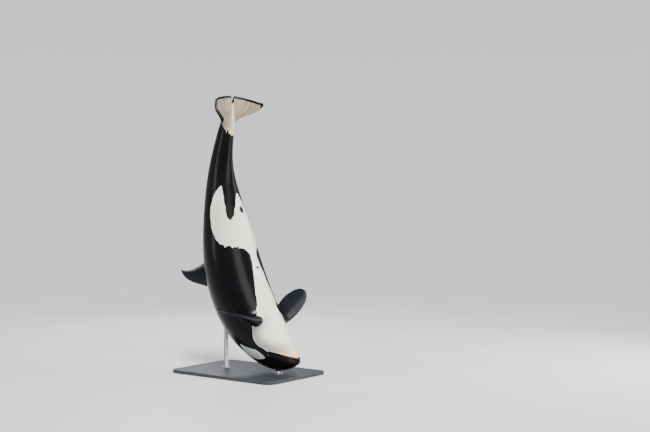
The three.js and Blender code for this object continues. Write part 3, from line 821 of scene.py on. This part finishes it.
def tail_white(along, side, degrees):
    """Distance inside the white of the flukes' underside, which keeps dark margins."""
    away = np.abs(side)
    folded = from_belly(degrees)
    edge = np.interp(folded, [a for a, _ in TAIL_WHITE_EDGE], [x for _, x in TAIL_WHITE_EDGE])
    outwards = np.maximum(away, FLUKE_ROOT_AWAY)
    front = lead_of_span(outwards)
    sweep = (lead_of_span(outwards + 0.001) - lead_of_span(outwards - 0.001)) / 0.002
    from_edge = (along - edge) * LENGTH
    from_lead = (along - front) * LENGTH / np.hypot(1, sweep) - np.where(side < 0, *FLUKE_LEAD_MARGINS)
    # Close to the tail stock the leading edge has no margin
    from_lead += 0.5 * (1 - smoothstep(away, 0.019, 0.03))
    from_trail = (trail_x(away) - along) * LENGTH - FLUKE_TRAIL_MARGIN
    from_tip = (np.where(side < 0, *FLUKE_TIPS_FROM) - away) * LENGTH
    beside_notch = (away - np.where(side < 0, *NOTCH_BLACK)) * LENGTH
    before_notch = (trail_x(0) - along) * LENGTH - 0.004
    from_notch = np.maximum(beside_notch, before_notch)
    below = np.where(folded < 90, 1.0, -0.05)
    return np.minimum.reduce((from_edge, from_lead, from_trail, from_tip, from_notch, below))


def dark_spots(points):
    """Where the skin darkens in the slit of the belly and the navel."""
    p, q, _ = local_places(points, SLIT_STATION, 0)
    spots = 1 - smoothstep(np.hypot((p + 0.01) / 0.078, q / 0.06), 0.55, 1.15)
    p, q, _ = local_places(points, NAVEL_STATION, 0)
    return spots + 1 - smoothstep(np.hypot(p / 0.027, q / 0.034), 0.6, 1.2)


def thin_out(net):
    """Joins the flattest and smallest faces, most of them at the snout, and none on the eye patch's edge."""
    from_patch = read(net.data.attributes["eye_patch_edge"].data, "value")[:, 0]
    plain = net.vertex_groups.new(name="plain")
    plain.add(np.flatnonzero(np.abs(from_patch) > PATCH_EDGE_KEPT).tolist(), 1, "REPLACE")
    net.data.calc_loop_triangles()
    bpy.ops.object.modifier_add(type="DECIMATE")
    thinning = net.modifiers[-1]
    thinning.ratio = SKIN_TRIANGLES / len(net.data.loop_triangles)
    thinning.vertex_group = plain.name
    bpy.ops.object.modifier_apply(modifier=thinning.name)
    net.vertex_groups.clear()


def ridge_highlight_of(degrees, tail, side, progress):
    """How strong the painted highlight is on the ridge along the middle of the belly and of the flukes'
    underside.
    """
    ridge = 0.45 * bump(from_belly(degrees), 50)
    ridge[tail] = 0.9 * bump(side, 0.0115 - 0.0085 * progress) + 0.2 * (1 - smoothstep(progress, 0, 0.25))
    return ridge


def lay_flat(net, station, angle):
    """Lays the skin out flat, in metres along the body and round it."""
    loops = np.empty(len(net.data.loops), int)
    net.data.loops.foreach_get("vertex_index", loops)
    lie = np.stack((station * LENGTH, angle / (2 * math.pi) * GIRTH), -1)
    net.data.uv_layers.active.data.foreach_set("uv", lie[loops].ravel())
    net.data.uv_layers.active.name = "Lie"


def close_skin(net):
    """Joins the net's edges where they meet, at the snout, along the belly and behind the flukes."""
    def join():
        bpy.ops.mesh.select_all(action="SELECT")
        bpy.ops.mesh.remove_doubles(threshold=0.0001)
        bpy.ops.mesh.normals_make_consistent(inside=False)
    select_only(net)
    in_edit_mode(join)


def make_skin():
    net = make_net()
    rows, columns = net_places(net.data.vertices, "co")
    points, t, angle, height = body_places(rows, columns)
    relief = relief_of(points, t, angle, height) * (rows > 0.5) * (rows < FLUKE_ROW)
    points = points + skin_axes(t, angle)[2] * relief[:, None]
    tail = rows > FLUKE_ROW
    progress = np.clip((rows[tail] - FLUKE_ROW) / (ROWS - FLUKE_ROW), 0, 1)
    points[tail], along, side = fluke_point(progress, angle[tail])
    fins, mark_t, mark_angle = grow_fins(points, rows, columns, t, angle)
    net.data.vertices.foreach_set("co", points.ravel())

    degrees = np.degrees(angle)
    station = t.copy()
    station[tail] = along
    white, patch, saddle = paint_body(mark_t, mark_angle)
    white_end = np.where(points[:, 1] < 0, *FLIPPER_WHITE_ENDS)
    white = np.where(fins > 0, np.minimum(white, (white_end - fins) * FLIPPER_METRES), white)
    white[tail] = tail_white(along, side, degrees[tail])
    near_tail = (rows > FLUKE_ROW - TAIL_WHITE_ROWS) & ~tail
    stock_side = section_point(t[near_tail], angle[near_tail])[0]
    white[near_tail] = tail_white(t[near_tail], stock_side, degrees[near_tail])
    # A painted highlight along the middle ridge of the tail stock and the flukes.
    ridge = ridge_highlight_of(degrees, tail, side, progress)
    for name, values in (("white_edge", white), ("eye_patch_edge", patch), ("saddle_edge", saddle),
                         ("station", station), ("fins", fins), ("tail_ridge_highlight", ridge),
                         ("spots", dark_spots(points))):
        save_attribute(net, name, values)
    lay_flat(net, station, angle)
    close_skin(net)
    thin_out(net)
    bpy.ops.object.shade_smooth()
    return net


skin = make_skin()


# Materials

def start_material(name):
    material = bpy.data.materials.new(name)
    material.use_nodes = True
    tree = material.node_tree
    return material, tree, tree.nodes["Principled BSDF"]


def fill(node, values):
    """Sets a node's inputs to numbers and colours, or links them to the sockets of other nodes."""
    for name, value in values.items():
        if isinstance(value, bpy.types.NodeSocket):
            value.id_data.links.new(value, node.inputs[name])
        else:
            node.inputs[name].default_value = value


def add_node(socket, kind):
    """A new node in the tree that a socket belongs to."""
    return socket.id_data.nodes.new(kind)


def coordinates(tree, output="Object", scale=(1, 1, 1)):
    source = tree.nodes.new("ShaderNodeTexCoord")
    mapping = tree.nodes.new("ShaderNodeMapping")
    fill(mapping, {"Vector": source.outputs[output], "Scale": scale})
    return mapping.outputs["Vector"]


def attribute(tree, name):
    node = tree.nodes.new("ShaderNodeAttribute")
    node.attribute_name = name
    return node.outputs["Fac"]


def noise(vector, scale, detail=3, roughness=0.5):
    node = add_node(vector, "ShaderNodeTexNoise")
    fill(node, {"Vector": vector, "Scale": scale, "Detail": detail, "Roughness": roughness})
    return node.outputs["Fac"]


def arithmetic(operation, first, second=0.0):
    node = add_node(first, "ShaderNodeMath")
    node.operation = operation
    fill(node, {0: first, 1: second})
    return node.outputs[0]


def times(product, *factors):
    for factor in factors:
        product = arithmetic("MULTIPLY", product, factor)
    return product


def plus(total, *others):
    for other in others:
        total = arithmetic("ADD", total, other)
    return total


def ramp(value, low, high, to_low=0.0, to_high=1.0, smooth=False):
    node = add_node(value, "ShaderNodeMapRange")
    node.interpolation_type = "SMOOTHSTEP" if smooth else "LINEAR"
    fill(node, {"Value": value, "From Min": low, "From Max": high, "To Min": to_low, "To Max": to_high})
    return node.outputs["Result"]


def opaque(colour):
    return colour if isinstance(colour, bpy.types.NodeSocket) else (*colour, 1)


def mix(factor, first, second):
    node = add_node(factor, "ShaderNodeMix")
    node.data_type = "RGBA"
    fill(node, {0: factor, 6: opaque(first), 7: opaque(second)})
    return node.outputs[2]


def blend(source, low, high, first, second, smooth=False):
    """The first colour where the source is low, the second where it is high."""
    return mix(ramp(source, low, high, smooth=smooth), first, second)


def tints(colour, *layers):
    """Lays tones over a colour: each with its source, where it sets in and is full, and its strength."""
    for source, low, high, strength, tone in layers:
        colour = mix(ramp(source, low, high, 0, strength), colour, tone)
    return colour


def relief(height, distance, strength, under=None):
    node = add_node(height, "ShaderNodeBump")
    fill(node, {"Height": height, "Distance": distance, "Strength": strength})
    if under is not None:
        fill(node, {"Normal": under})
    return node.outputs["Normal"]


def marking(edge, wobble, softness):
    """0 outside a marking and 1 inside it, with an edge that wanders a little."""
    return ramp(plus(edge, wobble), -softness, softness, smooth=True)


def skin_sources(tree):
    """The places and noises that several parts of the skin's material share."""
    place = coordinates(tree)
    return {
        "place": place,
        "station": attribute(tree, "station"),
        "edge": attribute(tree, "white_edge"),
        "coarse": noise(place, 1.6, 4),
        "cloud": noise(place, 7, 5, 0.6),
        "fine": noise(place, 38, 4, 0.6),
        "streaks": noise(coordinates(tree, "UV", (1, 9, 1)), 5, 6, 0.65),
    }


def black_colour(tree, sources):
    """Black, with a faint bluish and brownish drift and pale hairline scratches."""
    hairlines = noise(coordinates(tree, "UV", (1, 26, 1)), 11, 4, 0.7)
    return tints(blend(sources["coarse"], 0.35, 0.65, (0.0045, 0.0052, 0.0068), (0.008, 0.0076, 0.0076)),
                 (sources["streaks"], 0.52, 0.8, 0.3, (0.022, 0.022, 0.024)),
                 (hairlines, 0.7, 0.78, 0.25, (0.05, 0.05, 0.052)),
                 (attribute(tree, "fins"), 0.9, 1.3, 1, (0.013, 0.0145, 0.019)))


def fluke_colour(tree, sources):
    """Underside of the flukes, grey with brown streaks from the root outwards, and a painted highlight along
    the middle ridge.
    """
    fan = noise(coordinates(tree, "UV", (0.9, 7, 1)), 2.6, 5, 0.68)
    patches = noise(sources["place"], 6)
    streaked = tints(blend(patches, 0.4, 0.62, (0.335, 0.305, 0.26), (0.31, 0.25, 0.165)),
                     (fan, 0.38, 0.58, 1, (0.17, 0.13, 0.08)),
                     (fan, 0.42, 0.28, 0.8, (0.47, 0.42, 0.335)))
    # The pale, yellowish band along the middle ridge is a painted highlight.
    return mix(attribute(tree, "tail_ridge_highlight"), streaked, (0.7, 0.62, 0.44))


def white_colour(tree, sources):
    """Warm cream with grey clouds, with painted shade on the flank and along the throat, yellower at the jaw.
    """
    station = sources["station"]
    edge = sources["edge"]
    white = tints(blend(sources["coarse"], 0.35, 0.7, (0.8, 0.755, 0.645), (0.7, 0.67, 0.59)),
                  (sources["cloud"], 0.5, 0.75, 0.4, (0.58, 0.565, 0.52)),
                  (sources["streaks"], 0.55, 0.8, 0.35, (0.52, 0.5, 0.45)))
    split = tree.nodes.new("ShaderNodeSeparateXYZ")
    fill(split, {"Vector": sources["place"]})
    away = arithmetic("ABSOLUTE", split.outputs["Y"])
    # Painted shade: the white turns greyer towards the sides of the body, away from the belly's middle.
    flank_shade = times(ramp(away, 0.12, 0.42, 0, 0.45), ramp(station, 0.47, 0.54))
    # Painted shade along the throat and jaw: a dark grey band a little inside the white's edge, with a paler
    # rim at the edge itself.
    throat_shade = times(ramp(station, 0.02, 0.07, smooth=True), ramp(station, 0.2, 0.165, smooth=True),
                   ramp(edge, 0.3, 0, 0, 0.9, smooth=True), ramp(edge, 0, 0.035, 0.45, 1))
    jaw = times(ramp(station, 0.1, 0, smooth=True), ramp(edge, 0.15, 0.01, smooth=True))
    for share, tone in ((flank_shade, (0.47, 0.46, 0.425)), (throat_shade, (0.22, 0.23, 0.23)), (jaw, (0.76, 0.46, 0.2))):
        white = mix(share, white, tone)
    return tints(white, (station, 0.85, 0.88, 0.9, fluke_colour(tree, sources)))


def edge_wobble(tree, sources):
    """Metres by which the markings' edges wander: least at the head, with fingers of black at the tail."""
    station = sources["station"]
    waves = plus(ramp(sources["cloud"], 0.2, 0.8, -0.022, 0.022),
                 ramp(sources["fine"], 0.2, 0.8, -0.012, 0.012))
    share = times(plus(ramp(station, 0.09, 0.5, 0.12, 0.8), ramp(station, 0.8, 0.87, 0, 1.6)),
                  ramp(station, 0.925, 0.95, 1, 0.1))
    ragged = times(ramp(station, 0.465, 0.485), ramp(station, 0.54, 0.5),
                   ramp(noise(sources["place"], 17, 2), 0.3, 0.7, -0.03, 0.03))
    fingers = noise(coordinates(tree, "UV", (1, 2.4, 1)), 3.2, 2, 0.6)
    on_tail = times(ramp(station, 0.84, 0.87), ramp(station, 0.945, 0.925))
    fingers = times(ramp(fingers, 0.35, 0.65, -0.055, 0.035), on_tail)
    return plus(times(waves, share), ragged, fingers)


def skin_material():
    material, tree, shader = start_material("wet_skin")
    sources = skin_sources(tree)
    cloud = sources["cloud"]
    wobble = edge_wobble(tree, sources)
    belly = marking(sources["edge"], wobble, 0.004)
    patch = marking(attribute(tree, "eye_patch_edge"), times(wobble, 0.5), 0.004)
    saddle = marking(attribute(tree, "saddle_edge"), wobble, 0.05)
    saddle_grey = blend(cloud, 0.3, 0.7, (0.12, 0.125, 0.13), (0.2, 0.2, 0.2))
    # The eye patch's white, painted grey and bluish: painted shade, and a painted reflection of blue light.
    patch_white_in_shade = blend(cloud, 0.4, 0.7, (0.5, 0.535, 0.515), (0.41, 0.44, 0.43))
    white = mix(attribute(tree, "spots"), white_colour(tree, sources), (0.014, 0.015, 0.02))
    colour = mix(times(saddle, 0.8), black_colour(tree, sources), saddle_grey)
    colour = mix(patch, mix(belly, colour, white), patch_white_in_shade)
    pale = arithmetic("MAXIMUM", belly, patch)
    sheen = plus(ramp(pale, 0, 1, 0.3, 0.42), ramp(cloud, 0.3, 0.7, -0.06, 0.08))
    wave = relief(cloud, 0.012, 0.35)
    flow = relief(sources["streaks"], 0.002, 0.35, wave)
    grain = relief(sources["fine"], 0.0015, 0.5, flow)
    fill(shader, {"Base Color": colour, "Roughness": sheen, "Normal": grain, "Coat Normal": flow,
                  "IOR": 1.38, "Specular IOR Level": 0.2,
                  "Coat Weight": 0.4, "Coat Roughness": 0.11, "Coat IOR": 1.3})
    return material


def eye_material(centre, axis):
    """Dark brown iris round a black pupil, with a reddish white that shows at the corners."""
    material, tree, shader = start_material("wet_eye")
    offset = tree.nodes.new("ShaderNodeVectorMath")
    offset.operation = "SUBTRACT"
    fill(offset, {0: coordinates(tree), 1: centre})
    along = tree.nodes.new("ShaderNodeVectorMath")
    along.operation = "DOT_PRODUCT"
    fill(along, {0: offset.outputs["Vector"], 1: axis})
    depth = ramp(along.outputs["Value"], EYE_RADIUS * 0.4, EYE_RADIUS * 1.05)
    fibres = noise(coordinates(tree), 420, 4, 0.6)
    iris = blend(fibres, 0.35, 0.7, (0.045, 0.02, 0.009), (0.11, 0.055, 0.024))
    colour = blend(depth, 0.42, 0.56, (0.34, 0.25, 0.21), iris, smooth=True)
    colour = blend(depth, 0.8, 0.86, colour, (0.002, 0.002, 0.003), smooth=True)
    fill(shader, {"Base Color": colour, "Roughness": ramp(fibres, 0.2, 0.8, 0.06, 0.12),
                  "Coat Weight": 1, "Coat Roughness": 0.02})
    return material


def base_material():
    material, tree, shader = start_material("satin_paint")
    cloud = noise(coordinates(tree), 3, 4)
    fleck = noise(coordinates(tree), 900, 2)
    fill(shader, {"Base Color": blend(cloud, 0.3, 0.7, (0.042, 0.045, 0.05), (0.055, 0.058, 0.063)),
                  "Roughness": ramp(cloud, 0.3, 0.7, 0.44, 0.54), "Normal": relief(fleck, 0.0004, 0.35)})
    return material


def steel_material():
    material, tree, shader = start_material("brushed_steel_finish")
    brush = noise(coordinates(tree, "Object", (60, 60, 1)), 14, 3, 0.7)
    fill(shader, {"Base Color": blend(brush, 0.3, 0.7, (0.46, 0.47, 0.48), (0.6, 0.61, 0.62)), "Metallic": 1,
                  "Roughness": ramp(brush, 0.3, 0.7, 0.24, 0.4), "Normal": relief(brush, 0.0004, 0.25)})
    return material


def rubber_material():
    material, tree, shader = start_material("soft_rubber")
    speck = noise(coordinates(tree), 500)
    fill(shader, {"Base Color": blend(speck, 0.3, 0.7, (0.014, 0.014, 0.015), (0.024, 0.024, 0.025)),
                  "Roughness": ramp(speck, 0.3, 0.7, 0.6, 0.75), "Normal": relief(speck, 0.0005, 0.4)})
    return material


def floor_material():
    material, tree, shader = start_material("pale_floor")
    cloud = noise(coordinates(tree), 0.6, 4)
    fill(shader, {"Base Color": blend(cloud, 0.3, 0.7, (0.67, 0.675, 0.68), (0.71, 0.713, 0.715)),
                  "Roughness": 0.6})
    return material


skin.data.materials.append(skin_material())
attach(skin, "root")
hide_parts("head", "lower_jaw", "chest", "belly", "loin", "tail_stock", "dorsal_fin",
            "flipper_right", "flipper_left", "fluke_right", "fluke_left")


# Eyes

CORNEA_HEIGHT = 0.0022
CORNEA_RADII = (0.012, 0.021)  # the cornea is at its full height inside the first and ends at the second


def make_eye(name, node, mirror):
    station = np.array(EYE_STATION)
    angle = np.array(mirror * math.radians(EYE_ANGLE))
    tailward, _, out = skin_axes(station, angle)
    centre = skin_point(station, angle) - out * EYE_SINK
    deselect()
    bpy.ops.mesh.primitive_uv_sphere_add(segments=64, ring_count=40, radius=EYE_RADIUS)
    eye = name_piece(name)
    co = read(eye.data.vertices, "co", 3)
    from_axis = np.hypot(co[:, 0], co[:, 1])
    inner, outer = CORNEA_RADII
    co[:, 2] += CORNEA_HEIGHT * smoothstep(-from_axis, -outer, -inner) * (co[:, 2] > 0)
    basis = np.stack((tailward, np.cross(out, tailward), out))
    eye.data.vertices.foreach_set("co", (co @ basis + centre).ravel())
    bpy.ops.object.shade_smooth()
    eye.data.materials.append(eye_material(tuple(centre), tuple(out)))
    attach(eye, "root")
    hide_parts(node)


make_eye("right_eyeball", "eye_right", 1)
make_eye("left_eyeball", "eye_left", -1)


# Stand

BASE_SIZE = (2.5, 1.7, 0.06)
BASE_CORNER = 0.18
ROD_RADIUS = 0.042
FLANGE_RADIUS = 0.092
FLANGE_HEIGHT = 0.016
WELD_HEIGHT = 0.008  # a small bead where the rod rises from its flange
ROD_IN_SKIN = 0.035
FRONT_ROD_X = 0.74
REAR_ROD_X = -0.56
SCREWS = 6
SCREW_RADIUS = 0.0085
SCREW_HEIGHT = 0.01
COLLAR_THICKNESS = 0.011
TAIL_ABOVE = 2.5  # the back of the tail is above this height, and no rod reaches it
TOUCH = 1e-5


def select_faces(piece, test):
    for polygon in piece.data.polygons:
        polygon.select = bool(test(polygon))


def select_edges(piece, test):
    co = [v.co for v in piece.data.vertices]
    for edge in piece.data.edges:
        edge.select = bool(test(co[edge.vertices[0]], co[edge.vertices[1]]))


def edit(piece, select, test, operate):
    """Selects edges or faces by their place, then runs the operators on them in edit mode."""
    select_only(piece)
    bpy.context.tool_settings.mesh_select_mode = (False, select is select_edges, select is select_faces)
    unselect_mesh()
    select(piece, test)
    in_edit_mode(operate)


def bevel(width, segments):
    return lambda: bpy.ops.mesh.bevel(offset=width, segments=segments, affect="EDGES")


def inset(*steps):
    """Insets the chosen faces step by step, each by a width and a height."""
    for width, height in steps:
        bpy.ops.mesh.inset(thickness=width, depth=height)


def is_top(face):
    return face.normal.z > 0.99


def add_cylinder(name, radius, height, sides, place):
    deselect()
    bpy.ops.mesh.primitive_cylinder_add(vertices=sides, radius=radius, depth=height, location=place)
    piece = name_piece(name)
    bpy.ops.object.transform_apply(location=True)
    return piece


def finish_piece(piece, material, node):
    select_only(piece)
    bpy.ops.object.transform_apply(location=True, rotation=True, scale=True)
    bpy.ops.object.shade_smooth_by_angle(angle=math.radians(32))
    piece.data.materials.clear()
    piece.data.materials.append(material)
    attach(piece, "root")
    if node:
        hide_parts(node)


def make_base(material):
    deselect()
    half = BASE_SIZE[2] / 2
    bpy.ops.mesh.primitive_cube_add(size=1, location=(0, 0, half))
    base = name_piece("display_base")
    base.scale = BASE_SIZE
    bpy.ops.object.transform_apply(location=True, scale=True)
    edit(base, select_edges, lambda a, b: abs(a.z - b.z) > half, bevel(BASE_CORNER, 14))
    edit(base, select_edges, lambda a, b: abs(a.z - b.z) < TOUCH and a.z > half, bevel(0.012, 4))
    edit(base, select_edges, lambda a, b: abs(a.z) + abs(b.z) < TOUCH, bevel(0.006, 2))
    edit(base, select_faces, lambda face: is_top(face) and face.area > 1,
         lambda: inset((0.055, 0), (0.002, -0.0035), (0.006, 0), (0.002, 0.0035)))
    finish_piece(base, material, "stand_base")


def back_above(x):
    """The point of the back above a place on the base, and the outward direction of the skin there."""
    t = np.linspace(0.01, 0.7, 1400)
    line = skin_point(t, np.full(len(t), math.pi))
    i = int(np.argmin(np.abs(line[:, 0] - x) + (line[:, 2] > TAIL_ABOVE) * 9))
    return line[i], skin_axes(t[i:i + 1], np.array([math.pi]))[2][0]


def make_rod(name, node, x, material):
    contact, out = back_above(x)
    bottom = BASE_SIZE[2]
    lid = bottom + FLANGE_HEIGHT
    rise = contact[2] + ROD_IN_SKIN - lid - WELD_HEIGHT
    rod = add_cylinder(name, FLANGE_RADIUS, FLANGE_HEIGHT, 64, (x, 0, bottom + FLANGE_HEIGHT / 2))

    def raise_rod():
        inset((FLANGE_RADIUS - ROD_RADIUS - 0.006, 0), (0.003, 0.002), (0.003, 0.006))
        bpy.ops.mesh.extrude_region_move(TRANSFORM_OT_translate={"value": (0, 0, rise)})

    def on_rim(a, b):
        level = abs(a.z - lid) + abs(b.z - lid) < 1e-4
        return level and min(math.hypot(v.x - x, v.y) for v in (a, b)) > FLANGE_RADIUS - 0.001
    edit(rod, select_faces, is_top, raise_rod)
    edit(rod, select_edges, on_rim, bevel(0.004, 3))
    screws = [make_screw(x, k, lid) for k in range(SCREWS)]
    select_only(rod)
    for screw in screws:
        screw.select_set(True)
    bpy.ops.object.join()
    finish_piece(rod, material, node)
    return contact, out


def make_screw(x, k, lid):
    turn = 2 * math.pi * (k + 0.5) / SCREWS
    reach = (FLANGE_RADIUS + ROD_RADIUS) / 2 + 0.004
    place = (x + reach * math.cos(turn), reach * math.sin(turn), lid + 0.004)
    screw = add_cylinder("screw", SCREW_RADIUS, SCREW_HEIGHT, 24, place)
    edit(screw, select_faces, is_top, lambda: inset((0.0012, 0.0012), (0.003, 0), (0.0003, -0.005)))
    return screw


def make_collar(name, contact, out, material):
    """A rubber ring round the top of a rod, pressed against the skin."""
    deselect()
    bpy.ops.mesh.primitive_torus_add(major_segments=64, minor_segments=20,
                                     major_radius=ROD_RADIUS + 0.006, minor_radius=COLLAR_THICKNESS)
    collar = name_piece(name)
    normal = Vector(out)
    tilt = Vector((0, 0, -1)).rotation_difference(normal).to_matrix().to_4x4()
    place = Matrix.Translation(Vector(contact) + normal * 0.004) @ tilt
    stretch = Matrix.Diagonal((1 / max(abs(normal.z), 0.7), 1, 1, 1))
    collar.data.transform(place @ stretch)
    finish_piece(collar, material, None)


steel = steel_material()
rubber = rubber_material()
make_base(base_material())
front_contact = make_rod("front_rod", "stand_rod_front", FRONT_ROD_X, steel)
rear_contact = make_rod("rear_rod", "stand_rod_rear", REAR_ROD_X, steel)
make_collar("front_collar", *front_contact, rubber)
make_collar("rear_collar", *rear_contact, rubber)


# Floor, lights and surroundings

FLOOR_RADIUS = 120
SUN = {"direction": (0.45, -0.35, 0.82), "strength": 2.9, "softness": 16}
# Area lights: place, what they are aimed at, size, watts and colour
AREA_LIGHTS = (
    ((9.5, -8, 6), (-0.2, 0, 2.4), (7, 9), 720, (1, 0.98, 0.95)),
    ((-6, -7, 6), (-0.3, 0, 2.4), (1, 6), 120, (0.92, 0.96, 1)),
    ((7, 6, 5), (-0.2, 0, 2.2), (6, 7), 530, (1, 0.98, 0.96)),
    ((-7, 6, 7), (-0.3, 0, 2.6), (3, 5), 300, (0.95, 0.97, 1)),
)


def make_floor():
    deselect()
    bpy.ops.mesh.primitive_circle_add(vertices=96, radius=FLOOR_RADIUS, fill_type="NGON", location=(0, 0, 0))
    floor = name_piece("floor")
    floor.data.materials.append(floor_material())


def add_light(kind, place, aim):
    deselect()
    bpy.ops.object.light_add(type=kind, location=place)
    light = bpy.context.object
    light.rotation_euler = aim.to_track_quat("-Z", "Y").to_euler()
    return light.data


def make_light(place, target, size, power, colour):
    light = add_light("AREA", place, Vector(target) - Vector(place))
    light.shape = "RECTANGLE"
    light.size, light.size_y = size
    light.energy = power
    light.color = colour


def make_sun(direction, strength, softness):
    """An even, soft light from far away; the direction points from the model to it."""
    sun = add_light("SUN", (0, 0, 9), -Vector(direction))
    sun.energy = strength
    sun.angle = math.radians(softness)


def make_world():
    """Pale surroundings, a little brighter and graded for the camera."""
    world = bpy.data.worlds.new("studio")
    bpy.context.scene.world = world
    world.use_nodes = True
    tree = world.node_tree
    background = tree.nodes["Background"]
    source = tree.nodes.new("ShaderNodeTexCoord")
    split = tree.nodes.new("ShaderNodeSeparateXYZ")
    fill(split, {"Vector": source.outputs["Generated"]})
    seen = blend(split.outputs["Z"], 0.06, 0.5, (0.766, 0.78, 0.799), (0.42, 0.44, 0.47), smooth=True)
    ray = tree.nodes.new("ShaderNodeLightPath")
    colour = mix(ray.outputs["Is Camera Ray"], (0.4, 0.41, 0.43), seen)
    fill(background, {"Color": colour, "Strength": 0.95})


make_floor()
make_sun(**SUN)
for area_light in AREA_LIGHTS:
    make_light(*area_light)
make_world()
bpy.context.scene.view_settings.look = "AgX - Medium High Contrast"
